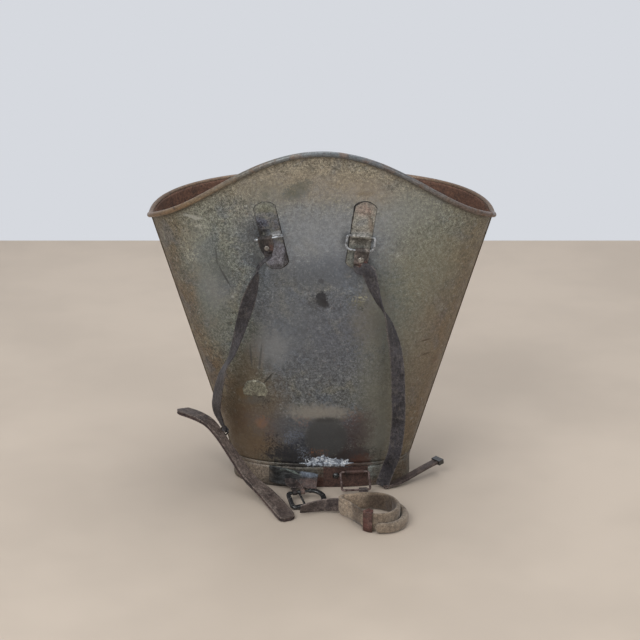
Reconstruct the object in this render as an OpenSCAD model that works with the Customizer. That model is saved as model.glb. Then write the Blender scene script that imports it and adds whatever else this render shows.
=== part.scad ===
// Galvanised grape hod with its leather harness, in millimetres.
// The wearer's side faces -Y and +Z is up. The origin is on the floor, under the middle of the foot.

/* [Foot] */
// Width of the foot
foot_w = 316; // [290:2:340]
// Depth of the foot behind its widest line, towards the wearer
foot_back = 83; // [74:1:92]
// Depth of the foot in front of its widest line
foot_front = 118; // [100:1:140]
// Height of the middle of the foot seam
foot_h = 42; // [38:1:50]
// Squareness of the foot outline, where 2 is an ellipse
foot_round = 2.6; // [2.2:0.1:3]

/* [Mouth] */
// Width of the mouth over the sheets
mouth_w = 584; // [560:2:620]
// Depth of the mouth behind its widest line, towards the wearer
mouth_back = 148; // [138:1:160]
// Depth of the mouth in front of its widest line
mouth_front = 218; // [190:1:240]
// Distance from the foot's widest line forward to the mouth's
mouth_shift = 15; // [5:1:25]
// Squareness of the mouth outline, where 2 is an ellipse
mouth_round = 2.3; // [2.1:0.1:2.6]
// Height of the rim at its two low sides
side_h = 472; // [440:2:500]
// How far the rim sweeps up towards the wearer
back_lift = 46; // [30:1:60]
// Extra height of the rounded crest
crest_lift = 100; // [60:1:130]
// How far the rim rises in front
front_lift = 17; // [5:1:30]

/* [Sheet] */
// Thickness of the galvanised sheet
sheet_t = 1.1; // [0.8:0.1:1.5]
// Diameter of the rolled rim
bead_d = 9; // [8:0.5:12]
// Height of the folded foot seam
seam_h = 6; // [5:0.5:8]
// How far the foot seam stands out from the wall
seam_out = 1.8; // [1.2:0.1:3]
// Width of the two locked side seams
lock_w = 9; // [7:0.5:12]
// How far a side seam stands out from the wall
lock_out = 1.8; // [1.2:0.1:2.5]
// Angle from the widest line back to each side seam
lock_turn = 5; // [3:1:8]

/* [Chapes and rings] */
// Distance of the left chape from the middle
left_x = -84; // [-96:1:-74]
// Distance of the right chape from the middle
right_x = 65; // [56:1:80]
// Height of the barrels of the top chapes
chape_z = 475; // [460:1:480]
// Width of a top chape
chape_w = 36; // [30:1:42]
// Height of a top chape
chape_h = 120; // [100:1:128]
// Thickness of the chape strip
chape_t = 1.2; // [1:0.1:2]
// Radius of a chape's rounded ends
chape_r = 22; // [21:1:30]
// Lean of the left chape, top outwards
left_lean = 11; // [4:1:14]
// Lean of the right chape, top outwards
right_lean = 8; // [4:1:14]
// Width of the rolled barrel
barrel_w = 32; // [26:1:33]
// Diameter of the rolled barrel
barrel_d = 8; // [7.4:0.2:10]
// Diameter of the ring wire
wire_d = 4; // [3:0.2:4.4]
// Running clearance round a ring or a strap loop, on the radius
pin_gap = 0.08; // [0.04:0.01:0.1]
// Width of a top ring, between wire centres
ring_w = 45; // [44:1:50]
// Length of a top ring, between wire centres
ring_l = 24; // [22:1:32]
// How far the left ring stands out from hanging
left_swing = 105; // [95:1:115]
// How far the right ring stands out from hanging
right_swing = 8; // [6:1:12]
// Distance of the lower ring from the middle
lower_x = 57; // [50:1:66]
// Height of the barrel of the lower chape
lower_z = 30; // [28:1:31]
// Width of the lower ring, between wire centres
lower_ring_w = 50; // [46:1:54]
// Length of the lower ring, between wire centres
lower_ring_l = 36; // [32:1:38]
// How far the lower ring stands out from hanging
lower_swing = 52; // [50:1:54]
// Diameter of the lower chape's rivet
lower_rivet_d = 12; // [10:1:14]

/* [Harness] */
// Width of the two carrying straps
strap_w = 24; // [20:1:26]
// Thickness of the two carrying straps
strap_t = 2.6; // [2:0.2:3]
// Length of each strap's doubled end below its ring
fold_l = 26; // [22:1:30]
// Diameter of a strap rivet's head
rivet_d = 11; // [8:1:12]
// Width of the foot tab
tab_w = 30; // [26:1:32]
// Thickness of the foot tab
tab_t = 3.5; // [2.4:0.1:4]
// Width of the stout strap
stout_w = 30; // [26:1:34]
// Thickness of each of the stout strap's two layers
stout_t = 3.8; // [3:0.2:4.4]
// Height of the pad band
pad_h = 34; // [30:1:40]
// Thickness of the pad band
pad_t = 9; // [7:0.5:11]
// Height of the outer pad layer
pad_low_h = 19; // [14:1:24]
// Width of the floor buckle, along its hinge bar
buckle_l = 66; // [62:1:72]
// Length of the floor buckle, from its hinge bar to its front bar
buckle_w = 46; // [42:1:50]
// Thickness of the floor buckle's frame
buckle_d = 7; // [6:0.5:8]
// Angle between the floor and the floor buckle's frame
floor_tilt = 15; // [12:1:20]

/* [Hidden] */

// Colours of the finishes
zinc = [0.42, 0.43, 0.40];
rust = [0.36, 0.20, 0.13];
black_leather = [0.13, 0.13, 0.15];
brown_leather = [0.30, 0.25, 0.22];
pink_leather = [0.48, 0.36, 0.33];
felt = [0.52, 0.46, 0.38];
black_metal = [0.05, 0.05, 0.05];

// Angular steps round the hod, and rows up a sheet
turn_step = 5;
rows = 4;
// How deep a soldered or folded piece bites into what it sits on
bite = 0.4;
// Play left between pieces that pass each other
play = 0.6;

// Vector helpers
function unit(v) = v / norm(v);
function rot_x(v, a) = [v.x, v.y * cos(a) - v.z * sin(a), v.y * sin(a) + v.z * cos(a)];
function rot_y(v, a) = [v.x * cos(a) + v.z * sin(a), v.y, -v.x * sin(a) + v.z * cos(a)];
function rot_z(v, a) = [v.x * cos(a) - v.y * sin(a), v.x * sin(a) + v.y * cos(a), v.z];

// Plan outline with rounded sides: one width, and a depth behind and in front of the widest line
function outline(a, w, back, front, n) =
    let (d = sin(a) < 0 ? back : front)
    let (r = 1 / pow(pow(abs(cos(a)) / (w / 2), n) + pow(abs(sin(a)) / d, n), 1 / n))
    [r * cos(a), r * sin(a)];
function foot_pt(a) = outline(a, foot_w, foot_back, foot_front, foot_round);
function mouth_pt(a) =
    outline(a, mouth_w, mouth_back, mouth_front, mouth_round) + [0, mouth_shift];

// Wall of the hod: upright below the foot seam, straight lines from foot to mouth above it
function wall_pt(a, z) =
    foot_pt(a) + (mouth_pt(a) - foot_pt(a)) * max(0, (z - foot_h) / (side_h - foot_h));
function wall_out(a, z) =
    let (t = wall_pt(a + 0.5, z) - wall_pt(a - 0.5, z)) unit([t.y, -t.x]);
function wall(a, z, off = 0) =
    let (p = wall_pt(a, z) + wall_out(a, z) * off) [p.x, p.y, z];

// Height of the rim: low at the sides, raised in front and swept up to the crest behind
function rim_z(a) =
    let (u = min(1, abs(mouth_pt(a).x) / (mouth_w / 2)))
    let (s = sqrt(1 - u * u))
    side_h + (sin(a) < 0 ? back_lift * s + crest_lift * (1 + cos(180 * u)) / 2 : front_lift * s);
function rim_c(a) = wall(a, rim_z(a), bead_d / 2 - sheet_t);

// Angle at which the wearer's side of the wall has a given x, found by halving
function back_a(x, z, low = 180, high = 360, n = 24) =
    let (mid = (low + high) / 2)
    n == 0 ? mid
    : wall_pt(mid, z).x < x ? back_a(x, z, mid, high, n - 1)
    : back_a(x, z, low, mid, n - 1);
// Place in front of the wearer's side of the wall, at a given gap
function before_wall(x, gap, z) = [x, wall_pt(back_a(x, z), z).y - gap, z];

// Turn and lean of the wall at a place on the wearer's side
function wall_turn(x, z) = let (o = wall_out(back_a(x, z), z)) atan2(o.x, -o.y);
function wall_lean(x, z) =
    let (a = back_a(x, z))
    atan((wall_pt(a, z + 1) - wall_pt(a, z - 1)) * wall_out(a, z) / 2);
// From a frame on the wall, with -Y outwards and Z up along it, to the model's frame
function from_wall(v, x, z, tilt) =
    wall(back_a(x, z), z)
    + rot_z(rot_x(rot_y(v, tilt), wall_lean(x, z)), wall_turn(x, z));
module on_wall(x, z, tilt) {
    translate(wall(back_a(x, z), z))
        rotate([0, 0, wall_turn(x, z)])
            rotate([wall_lean(x, z), 0, 0])
                rotate([0, tilt, 0])
                    children();
}

// Solid skinned over a row of rings that have the same even number of points
module skin(rings, closed = false) {
    n = len(rings);
    m = len(rings[0]);
    side_faces = [
        for (i = [0 : (closed ? n : n - 1) - 1], j = [0 : m - 1])
            let (a = i * m + j, b = i * m + (j + 1) % m)
            let (c = ((i + 1) % n) * m + (j + 1) % m, d = ((i + 1) % n) * m + j)
            each [[a, b, c], [a, c, d]]
    ];
    end_faces = closed ? [] : [
        for (j = [0 : m / 2 - 2])
            each [
                [m - 2 - j, j + 1, j], [m - 1 - j, m - 2 - j, j],
                [(n - 1) * m + j, (n - 1) * m + j + 1, (n - 1) * m + m - 2 - j],
                [(n - 1) * m + j, (n - 1) * m + m - 2 - j, (n - 1) * m + m - 1 - j]
            ]
    ];
    polyhedron([for (r = rings, p = r) p], concat(side_faces, end_faces), convexity = 10);
}

// Smooth curve through rows of numbers, with a given number of steps from row to row
function curve_at(p, i, t) =
    let (n = len(p))
    let (a = p[max(0, i - 1)], b = p[i], c = p[min(n - 1, i + 1)], d = p[min(n - 1, i + 2)])
    0.5 * (2 * b + (c - a) * t + (2 * a - 5 * b + 4 * c - d) * t * t
        + (3 * b - a - 3 * c + d) * t * t * t);
function curve(p, steps) = [
    for (i = [0 : len(p) - 2], k = [0 : steps - 1]) curve_at(p, i, k / steps),
    p[len(p) - 1]
];

// Sections of a strip: plain, with cut corners, and as a cap over another strip
function flat(w, h, up = 0) =
    [[-w / 2, up - h / 2], [w / 2, up - h / 2], [w / 2, up + h / 2], [-w / 2, up + h / 2]];
function soft(w, h, r) = [
    [r - w / 2, -h / 2], [w / 2 - r, -h / 2], [w / 2, r - h / 2], [w / 2, h / 2 - r],
    [w / 2 - r, h / 2], [r - w / 2, h / 2], [-w / 2, h / 2 - r], [-w / 2, r - h / 2]
];
function cap(w, h, t) = [
    [w / 2 + t, -h / 2], [w / 2 + t, h / 2 + t], [-w / 2 - t, h / 2 + t], [-w / 2 - t, -h / 2],
    [-w / 2, -h / 2], [-w / 2, h / 2], [w / 2, h / 2], [w / 2, -h / 2]
];
// Ring of a strip: centre c, direction t, section faced towards ref and then rolled
function strip_ring(c, t, ref, roll, section, share) =
    let (s = unit(cross(ref, t)), v = cross(t, s))
    let (x = cos(roll) * s + sin(roll) * v, y = cos(roll) * v - sin(roll) * s)
    [for (p = section) c + x * p.x * share + y * p.y];
// Roll that lays a strip's width along w, taken nearest to a given angle
function roll_to(t, ref, w, near) =
    let (s = unit(cross(ref, t)))
    let (r = atan2(cross(t, s) * w, s * w)) r + 180 * round((near - r) / 180);
// Strip along a route whose rows hold x, y, z, roll and the share of the full width
module strip(route, section, ref, steps = 5) {
    p = curve(route, steps);
    n = len(p);
    skin([
        for (i = [0 : n - 1])
            let (q = p[i], d = p[min(n - 1, i + 1)] - p[max(0, i - 1)])
            strip_ring([q[0], q[1], q[2]], unit([d[0], d[1], d[2]]), ref, q[3], section, q[4])
    ]);
}

// Sheets: each runs from one side seam to the other
function sheet_ring(a) =
    let (low = foot_h + seam_h / 2, high = rim_z(a))
    concat(
        [for (i = [0 : rows]) wall(a, low + (high - low) * i / rows, 0)],
        [for (i = [rows : -1 : 0]) wall(a, low + (high - low) * i / rows, -sheet_t)]
    );
module sheet(from, to) {
    steps = round((to - from) / turn_step);
    skin([for (i = [0 : steps]) sheet_ring(from + (to - from) * i / steps)]);
}
module back_sheet() {
    color(zinc) sheet(180 + lock_turn, 360 - lock_turn);
}
module front_sheet() {
    color(zinc) sheet(-lock_turn, 180 + lock_turn);
}

// Side seams: the two sheets' edges folded into each other
function lock_ring(a, z) =
    let (half = asin(lock_w / 2 / norm(wall_pt(a, z))))
    [
        wall(a - half, z, -bite), wall(a - half, z, lock_out),
        wall(a + half, z, lock_out), wall(a + half, z, -bite)
    ];
module side_seam(a) {
    low = foot_h + seam_h / 2;
    high = rim_z(a) - bead_d / 2;
    color(zinc) skin([for (i = [0 : 8]) lock_ring(a, low + (high - low) * i / 8)]);
}
module left_seam() {
    side_seam(180 + lock_turn);
}
module right_seam() {
    side_seam(-lock_turn);
}

// Rim: the sheets' top edge curled outwards over a wire
function rim_frame(a) =
    let (t = unit(rim_c(a + 0.5) - rim_c(a - 0.5)), s = unit(cross(t, [0, 0, 1])))
    [s, cross(s, t)];
function rim_point(a, q, r) =
    let (f = rim_frame(a)) rim_c(a) + r * (cos(q) * f[0] + sin(q) * f[1]);
// The curl runs from the sheet, over the top and round under the outside
curl_from = 180;
curl_to = -75;
curl_parts = 7;
function curl_ring(a) = concat(
    [for (j = [0 : curl_parts])
        rim_point(a, curl_from + (curl_to - curl_from) * j / curl_parts, bead_d / 2)],
    [for (j = [curl_parts : -1 : 0])
        rim_point(a, curl_from + (curl_to - curl_from) * j / curl_parts, bead_d / 2 - sheet_t)]
);
module rim_bead() {
    color(zinc) skin([for (a = [0 : turn_step : 359]) curl_ring(a)], closed = true);
}
module rim_wire() {
    wire_r = (bead_d / 2 - sheet_t) * cos((curl_from - curl_to) / curl_parts / 2) - 0.1;
    color(rust)
        skin([
            for (a = [0 : turn_step : 359])
                [for (j = [7 : -1 : 0]) rim_point(a, 45 * j + 22.5, wire_r)]
        ], closed = true);
}

// Foot: folded seam, raised base plate and upright band
function seam_ring(a) = [
    for (p = [
        [-2 * sheet_t, -seam_h / 2], [seam_out * 0.5, -seam_h / 2], [seam_out, -seam_h / 4],
        [seam_out, seam_h / 4], [seam_out * 0.5, seam_h / 2], [-2 * sheet_t, seam_h / 2]
    ])
        let (q = wall(a, 0, p[0])) [q.x, q.y, foot_h + p[1]]
];
module foot_seam() {
    color(zinc) skin([for (a = [0 : turn_step : 359]) seam_ring(a)], closed = true);
}
function foot_outline(off) = [
    for (a = [0 : turn_step : 359]) let (p = wall(a, 0, off)) [p.x, p.y]
];
module base_plate() {
    color(zinc)
        translate([0, 0, foot_h - sheet_t])
            linear_extrude(sheet_t)
                polygon(foot_outline(-2 * sheet_t));
}
module foot_band() {
    color(zinc)
        linear_extrude(foot_h - seam_h / 2)
            difference() {
                polygon(foot_outline(0));
                polygon(foot_outline(-sheet_t));
            }
}

// Top chapes: a strip with rounded ends and a barrel rolled across its middle
barrel_y = -barrel_d / 2;
bore_r = wire_d / 2 + pin_gap;
module chape_outline() {
    intersection() {
        translate([-chape_w / 2, -chape_h / 2])
            square([chape_w, chape_h]);
        union() {
            for (s = [-1, 1])
                translate([0, s * (chape_h / 2 - chape_r)])
                    circle(r = chape_r, $fn = 64);
            translate([-chape_w / 2, -chape_h / 2 + chape_r])
                square([chape_w, chape_h - 2 * chape_r]);
        }
    }
}
module rolled_barrel(w) {
    translate([-w / 2, barrel_y, 0])
        rotate([0, 90, 0])
            cylinder(d = barrel_d, h = w, $fn = 48);
    translate([-w / 2, barrel_y, -barrel_d * 0.45])
        cube([w, barrel_d / 2, barrel_d * 0.9]);
}
module barrel_bore(w) {
    translate([-w / 2 - 1, barrel_y, 0])
        rotate([0, 90, 0])
            cylinder(r = bore_r, h = w + 2, $fn = 48);
}
module top_chape(x, tilt) {
    color(zinc)
        on_wall(x, chape_z, tilt)
            difference() {
                union() {
                    translate([0, bite, 0])
                        rotate([90, 0, 0])
                            linear_extrude(chape_t + bite)
                                chape_outline();
                    rolled_barrel(barrel_w);
                }
                barrel_bore(barrel_w);
            }
}
module left_chape() {
    top_chape(left_x, -left_lean);
}
module right_chape() {
    top_chape(right_x, right_lean);
}

// Wire rings: a round bar through the barrel, two arms and a lower bar
ring_r = 4;
right_low_r = 9.5;
module bar(l) {
    translate([-l / 2, 0, 0])
        rotate([0, 90, 0])
            cylinder(d = wire_d, h = l, $fn = 32);
}
module corner(r) {
    rotate([90, 0, 0])
        rotate_extrude(angle = 90, $fn = 64)
            translate([r, 0])
                circle(d = wire_d, $fn = 32);
}
module wire_ring(w, l, low_r = ring_r) {
    bar(w - 2 * ring_r);
    translate([0, 0, -l])
        bar(w - 2 * low_r);
    for (s = [-1, 1])
        translate([s * w / 2, 0, -l + low_r])
            cylinder(d = wire_d, h = l - ring_r - low_r, $fn = 32);
    for (c = [[1, 1, 0], [-1, 1, 270], [-1, -1, 180], [1, -1, 90]])
        let (r = c[1] > 0 ? ring_r : low_r)
            translate([c[0] * (w / 2 - r), 0, c[1] > 0 ? -r : -l + r])
                rotate([0, c[2], 0])
                    corner(r);
}
module left_ring() {
    color(zinc)
        on_wall(left_x, chape_z, -left_lean)
            translate([0, barrel_y, 0])
                rotate([-left_swing, 0, 0])
                    wire_ring(ring_w, ring_l);
}
module right_ring() {
    color(zinc)
        on_wall(right_x, chape_z, right_lean)
            translate([0, barrel_y, 0])
                rotate([-right_swing, 0, 0])
                    wire_ring(ring_w + 2, ring_l, right_low_r);
}

// Lower chape on the foot band: a plate bent to the band, with a barrel and a big rivet
lower_plate_l = 54;
lower_plate_r = 24;
lower_rivet_x = 32;
lower_rivet_z = 22;
module bent_plate(x_from, x_to, z, h, t) {
    a_from = back_a(x_from, 0);
    a_to = back_a(x_to, 0);
    turns = [for (i = [0 : 8]) a_from + (a_to - a_from) * i / 8];
    points = concat(
        [for (a = turns) wall(a, 0, t)],
        [for (i = [8 : -1 : 0]) wall(turns[i], 0, -bite)]
    );
    translate([0, 0, z])
        linear_extrude(h)
            polygon([for (p = points) [p.x, p.y]]);
}
module lower_chape() {
    color(rust)
        difference() {
            union() {
                bent_plate(lower_x - lower_plate_l, lower_x + lower_plate_r, 1,
                    foot_h - seam_h / 2 - 1 - play, chape_t);
                on_wall(lower_x, lower_z, 0)
                    rolled_barrel(barrel_w);
            }
            on_wall(lower_x, lower_z, 0)
                barrel_bore(barrel_w);
        }
}
module dome(d, h) {
    r = (d * d / 4 + h * h) / (2 * h);
    rotate([90, 0, 0])
        rotate_extrude($fn = 48)
            intersection() {
                translate([0, h - r])
                    circle(r = r, $fn = 96);
                square([d / 2, h]);
            }
}
module lower_chape_rivet() {
    color(black_metal)
        on_wall(lower_x - lower_rivet_x, lower_rivet_z, 0) {
            translate([0, -chape_t, 0])
                dome(lower_rivet_d, 4);
            rotate([90, 0, 0])
                translate([0, 0, -sheet_t - 1])
                    cylinder(d = 4, h = sheet_t + chape_t + 1.5, $fn = 32);
        }
}
module lower_ring() {
    color(rust)
        on_wall(lower_x, lower_z, 0)
            translate([0, barrel_y, 0])
                rotate([-lower_swing, 0, 0])
                    wire_ring(lower_ring_w, lower_ring_l);
}

// Carrying straps: looped round the ring's lower bar, riveted, then twisting as they fall
hang_out = 6;
left_shift = -5;
function hang_frame(v, x, tilt) =
    rot_z(rot_x(rot_y(rot_x(v, -hang_out), tilt), wall_lean(x, chape_z)), wall_turn(x, chape_z));
function ring_bar(x, tilt, swing, shift) =
    from_wall([shift, barrel_y, 0] + rot_x([0, 0, -ring_l], -swing), x, chape_z, tilt);
module on_ring_bar(x, tilt, swing, shift) {
    on_wall(x, chape_z, tilt)
        translate([shift, barrel_y, 0])
            rotate([-swing, 0, 0])
                translate([0, 0, -ring_l])
                    rotate([swing - hang_out, 0, 0])
                        children();
}
module strap_end() {
    difference() {
        union() {
            translate([-strap_w / 2, 0, 0])
                rotate([0, 90, 0])
                    cylinder(r = bore_r + strap_t, h = strap_w, $fn = 48);
            translate([-strap_w / 2, -strap_t, -fold_l])
                cube([strap_w, 2 * strap_t, fold_l]);
        }
        translate([-strap_w / 2 - 1, 0, 0])
            rotate([0, 90, 0])
                cylinder(r = bore_r, h = strap_w + 2, $fn = 48);
    }
}
module strap_rivet() {
    z = -fold_l * 0.6;
    translate([0, -strap_t, z])
        dome(rivet_d, 2.4);
    translate([0, 0, z])
        rotate([90, 0, 0])
            translate([0, 0, -strap_t - 0.8])
                cylinder(d = 4, h = 2 * strap_t + 1, $fn = 32);
    translate([0, strap_t + 0.8, z])
        rotate([90, 0, 0])
            cylinder(d = rivet_d * 0.8, h = 0.8, $fn = 32);
}
// A strap's route: two rows in its doubled end, then rows of x, gap to the wall, z, roll, share
function strap_route(x, tilt, swing, shift, rows) =
    let (b = ring_bar(x, tilt, swing, shift))
    let (d = hang_frame([0, 0, -1], x, tilt), w = hang_frame([1, 0, 0], x, tilt))
    let (p = b + d * (fold_l - bite), q = b + d * (fold_l + 5), r = roll_to(d, [0, -1, 0], w, 0))
    concat(
        [[p.x, p.y, p.z, r, 1], [q.x, q.y, q.z, r, 1]],
        [for (r = rows) concat(before_wall(r[0], r[1], r[2]), [r[3], r[4]])]
    );
left_rows = [
    [-105, 37, 426, 62, 1], [-111, 38, 404, 120, 1], [-124, 40, 366, 170, 1],
    [-135, 42, 329, 186, 1], [-150, 45, 278, 226, 1], [-160, 46, 250, 262, 1],
    [-171, 48, 220, 242, 1], [-180, 52, 178, 228, 0.95], [-182, 52, 146, 224, 0.8]
];
right_rows = [
    [78, 18, 416, 8, 1], [85, 21, 394, 25, 1], [95, 24, 362, 58, 1],
    [107, 27, 336, 95, 1], [116, 29, 308, 128, 1], [124, 32, 274, 152, 1],
    [129, 35, 232, 172, 1], [131, 38, 184, 180, 1], [132, 40, 148, 182, 1],
    [130, 40, 108, 185, 1], [126, 38, 74, 190, 1], [118, 31, 46, 194, 1],
    [109, 22, 16, 196, 1], [106, 19, 4.5, 196, 1]
];
module left_strap_loop() {
    color(black_leather)
        on_ring_bar(left_x, -left_lean, left_swing, left_shift)
            strap_end();
}
slide_fold_l = 14;
module left_strap() {
    end = slide_bar + cross(slide_f, slide_t) * (slide_d / 2 + strap_t / 2 + pin_gap)
        + slide_f * (slide_fold_l - bite);
    roll = roll_to(-slide_f, [0, -1, 0], slide_t, 224);
    over = end + slide_f * 8;
    color(black_leather)
        strip(
            concat(
                strap_route(left_x, -left_lean, left_swing, left_shift, left_rows),
                [
                    [over.x, over.y, over.z, roll, slide_share],
                    [end.x, end.y, end.z, roll, slide_share]
                ]
            ),
            flat(strap_w, strap_t), [0, -1, 0]);
}
// Narrow end of the left strap, folded round the bar of the slide loop
module left_strap_fold() {
    r = slide_d / 2 + pin_gap;
    w = strap_w * slide_share;
    color(black_leather)
        along(slide_bar, slide_t, slide_f)
            difference() {
                union() {
                    translate([-w / 2, 0, 0])
                        rotate([0, 90, 0])
                            cylinder(r = r + strap_t, h = w, $fn = 48);
                    translate([-w / 2, r, 0])
                        cube([w, strap_t, slide_fold_l]);
                }
                translate([-w / 2 - 1, 0, 0])
                    rotate([0, 90, 0])
                        cylinder(r = r, h = w + 2, $fn = 48);
            }
}
module left_strap_rivet() {
    color(zinc)
        on_ring_bar(left_x, -left_lean, left_swing, left_shift)
            strap_rivet();
}
module right_strap_loop() {
    color(black_leather)
        on_ring_bar(right_x, right_lean, right_swing, 0)
            strap_end();
}
module right_strap() {
    color(black_leather)
        strip(strap_route(right_x, right_lean, right_swing, 0, right_rows),
            flat(strap_w, strap_t), [0, -1, 0]);
}
module right_strap_rivet() {
    color(zinc)
        on_ring_bar(right_x, right_lean, right_swing, 0)
            strap_rivet();
}

// Stout strap: two layers, from its round end on the floor up past the foot to its free tip
stout_rows = [
    [-57, -224, 4.4, 0, 0.45], [-59, -219, 4.4, 0, 0.85], [-62, -208, 4.4, 0, 1],
    [-71, -184, 4.4, 0, 1], [-84, -156, 7, 0, 1], [-101, -133, 15, 0, 0.92],
    [-126, -113, 31, 0, 0.8], [-153, -92, 63, 0, 0.68], [-180, -73, 97, 0, 0.64],
    [-198, -55, 111, 0, 0.72], [-220, -32, 114.5, 0, 0.84], [-245, -6, 113, 0, 0.84],
    [-250, 2, 112, 0, 0.5]
];
function by_foot(r) =
    [for (i = [0 : len(r) - 1]) r[i] * (i == 0 ? foot_w / 316 : i == 1 ? foot_back / 83 : 1)];
stout_route = [
    for (r = stout_rows)
        let (q = by_foot(r)) [q[0], q[1], max(q[2], stout_t + 0.3), q[3], q[4]]
];
module stout_strap() {
    color(brown_leather)
        difference() {
            strip(stout_route, flat(stout_w, stout_t, stout_t / 2 + 0.05), [0, 0, 1], 3);
            slide_pocket();
        }
}
module stout_strap_lining() {
    color(brown_leather)
        difference() {
            strip(stout_route, flat(stout_w, stout_t, -stout_t / 2 - 0.05), [0, 0, 1], 3);
            slide_pocket();
        }
}

// Slide loop: its flat foot is sewn between the stout strap's layers, and its eye stands at their
// edge, where the left strap's narrow end is folded round its bar
slide_curve = curve(stout_route, 2);
slide_at = [slide_curve[16][0], slide_curve[16][1], slide_curve[16][2]];
slide_t = unit([
    for (i = [0 : 2]) slide_curve[17][i] - slide_curve[15][i]
]);
slide_w = unit(cross(slide_t, [0, 0, 1]));
slide_n = cross(slide_w, slide_t);
slide_lean = 38;
slide_f = slide_n * cos(slide_lean) - slide_w * sin(slide_lean);
slide_share = 0.42;
slide_l = strap_w * slide_share + 1.4;
slide_d = 3.2;
slide_post = 2.6;
slide_flat = 1.6;
slide_a = stout_w * 0.32 + slide_post / 2 + 0.4;
slide_up = stout_t + slide_d / 2 + strap_t + 0.9;
slide_bar = slide_at + slide_w * slide_a + slide_n * slide_up;
module along(c, w, n) {
    turn = atan2(w.y, w.x);
    rise = -asin(w.z);
    m = rot_y(rot_z(n, -turn), -rise);
    translate(c)
        rotate([atan2(-m.y, m.z), rise, turn])
            children();
}
module slide_pocket() {
    along(slide_bar, slide_t, slide_n)
        translate([-slide_l / 2 - slide_post - 0.2, -9, -slide_up - slide_flat / 2 - 0.3])
            cube([slide_l + 2 * slide_post + 0.4, slide_a + 16.3, slide_flat + 0.6]);
}
module slide_loop() {
    color(black_metal)
        along(slide_bar, slide_t, slide_n) {
            translate([-slide_l / 2 - slide_post, -slide_post / 2, -slide_up - slide_flat / 2])
                cube([slide_l + 2 * slide_post, slide_a + 7 + slide_post / 2, slide_flat]);
            for (s = [-1, 1])
                translate([s * (slide_l + slide_post) / 2, 0, -slide_up])
                    cylinder(d = slide_post, h = slide_up, $fn = 24);
            translate([-slide_l / 2 - slide_post, 0, 0])
                rotate([0, 90, 0])
                    cylinder(d = slide_d, h = slide_l + 2 * slide_post, $fn = 32);
        }
}
// Buckle tongue: a sleeve on a bar along X, and a pin along -Y that rests on the far bar
module tongue(bar_d, reach, far_d, w, pin_d) {
    r = bar_d / 2 + pin_gap;
    up = (far_d + pin_d) / 2 + 0.1;
    difference() {
        union() {
            translate([-w / 2, 0, 0])
                rotate([0, 90, 0])
                    cylinder(r = r + 1.2, h = w, $fn = 32);
            rotate([90 - asin(up / reach), 0, 0])
                cylinder(d = pin_d, h = reach + far_d / 2, $fn = 24);
        }
        translate([-w / 2 - 1, 0, 0])
            rotate([0, 90, 0])
                cylinder(r = r, h = w + 2, $fn = 32);
    }
}

// Rear strap: doubled, from the right strap's lower end away behind the foot, with a metal tip
rear_rows = [
    [108, -90, 5, 0, 1], [128, -83, 7, 0, 1], [146, -71, 10, 0, 1], [166, -55, 15, 0, 1],
    [188, -37, 20, 0, 1], [206, -22, 23, 0, 1]
];
rear_w = strap_w * 0.7;
rear_route = [for (r = rear_rows) by_foot(r)];
module rear_strap() {
    color(black_leather)
        strip(rear_route, flat(rear_w, 2 * strap_t), [0, 0, 1], 3);
}
module rear_strap_tip() {
    last = rear_route[len(rear_route) - 1];
    before = rear_route[len(rear_route) - 2];
    c = [last[0], last[1], last[2]];
    t = unit(c - [before[0], before[1], before[2]]);
    w = unit(cross([0, 0, 1], t));
    color(black_metal)
        along(c, w, cross(t, w))
            difference() {
                translate([-rear_w / 2 - 1.6, -8, -strap_t - 1.6])
                    cube([rear_w + 3.2, 11, 2 * strap_t + 3.2]);
                translate([-rear_w / 2 - 0.1, -9, -strap_t - 0.1])
                    cube([rear_w + 0.2, 9.1, 2 * strap_t + 0.2]);
            }
}

// Foot tab: a dark strap end that stands on its edge along the foot band
tab_rows = [
    [-92, 3, 24, 84, 1], [-78, 7, 24, 80, 1], [-60, 11, 23, 75, 1], [-42, 14, 21, 68, 1],
    [-24, 15, 19, 60, 1], [-8, 15, 17, 52, 0.9]
];
module foot_tab() {
    color(black_leather)
        strip([for (r = tab_rows) concat(before_wall(r[0], r[1], r[2]), [r[3], r[4]])],
            flat(tab_w, tab_t), [0, 0, 1], 3);
}

// Floor buckle: a frame with a square and a round end, that turns on its thinner back bar
floor_turn = 16;
floor_arm = (buckle_w - buckle_d) / 2;
floor_bar_d = buckle_d - 2.4;
floor_bar_l = buckle_l - buckle_d - floor_arm;
floor_at = [
    -59 * foot_w / 316, -141 * foot_back / 83,
    2 * floor_arm * sin(floor_tilt) + buckle_d / 2 + 0.3
];
floor_x = floor_bar_l / 2;
module on_floor_buckle() {
    translate(floor_at)
        rotate([0, 0, floor_turn])
            rotate([floor_tilt, 0, 0])
                children();
}
module floor_buckle() {
    side_d = buckle_d - 0.6;
    color(black_metal)
        on_floor_buckle() {
            rotate([0, 90, 0])
                cylinder(d = floor_bar_d, h = floor_bar_l + 1, $fn = 32);
            translate([-buckle_d / 2, -2 * floor_arm, 0])
                rotate([0, 90, 0])
                    cylinder(d = buckle_d, h = floor_bar_l + buckle_d / 2, $fn = 32);
            translate([0, -2 * floor_arm, 0])
                rotate([-90, 0, 0])
                    cylinder(d = side_d, h = 2 * floor_arm + buckle_d / 2, $fn = 32);
            translate([floor_bar_l, -floor_arm, 0])
                for (q = [0, -90])
                    rotate([0, 0, q])
                        rotate_extrude(angle = 90, $fn = 64)
                            translate([floor_arm, 0])
                                circle(d = buckle_d, $fn = 32);
        }
}
module floor_buckle_tongue() {
    color(black_metal)
        on_floor_buckle()
            translate([floor_x, 0, 0])
                tongue(floor_bar_d, 2 * floor_arm, buckle_d, 5, 4);
}
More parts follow.
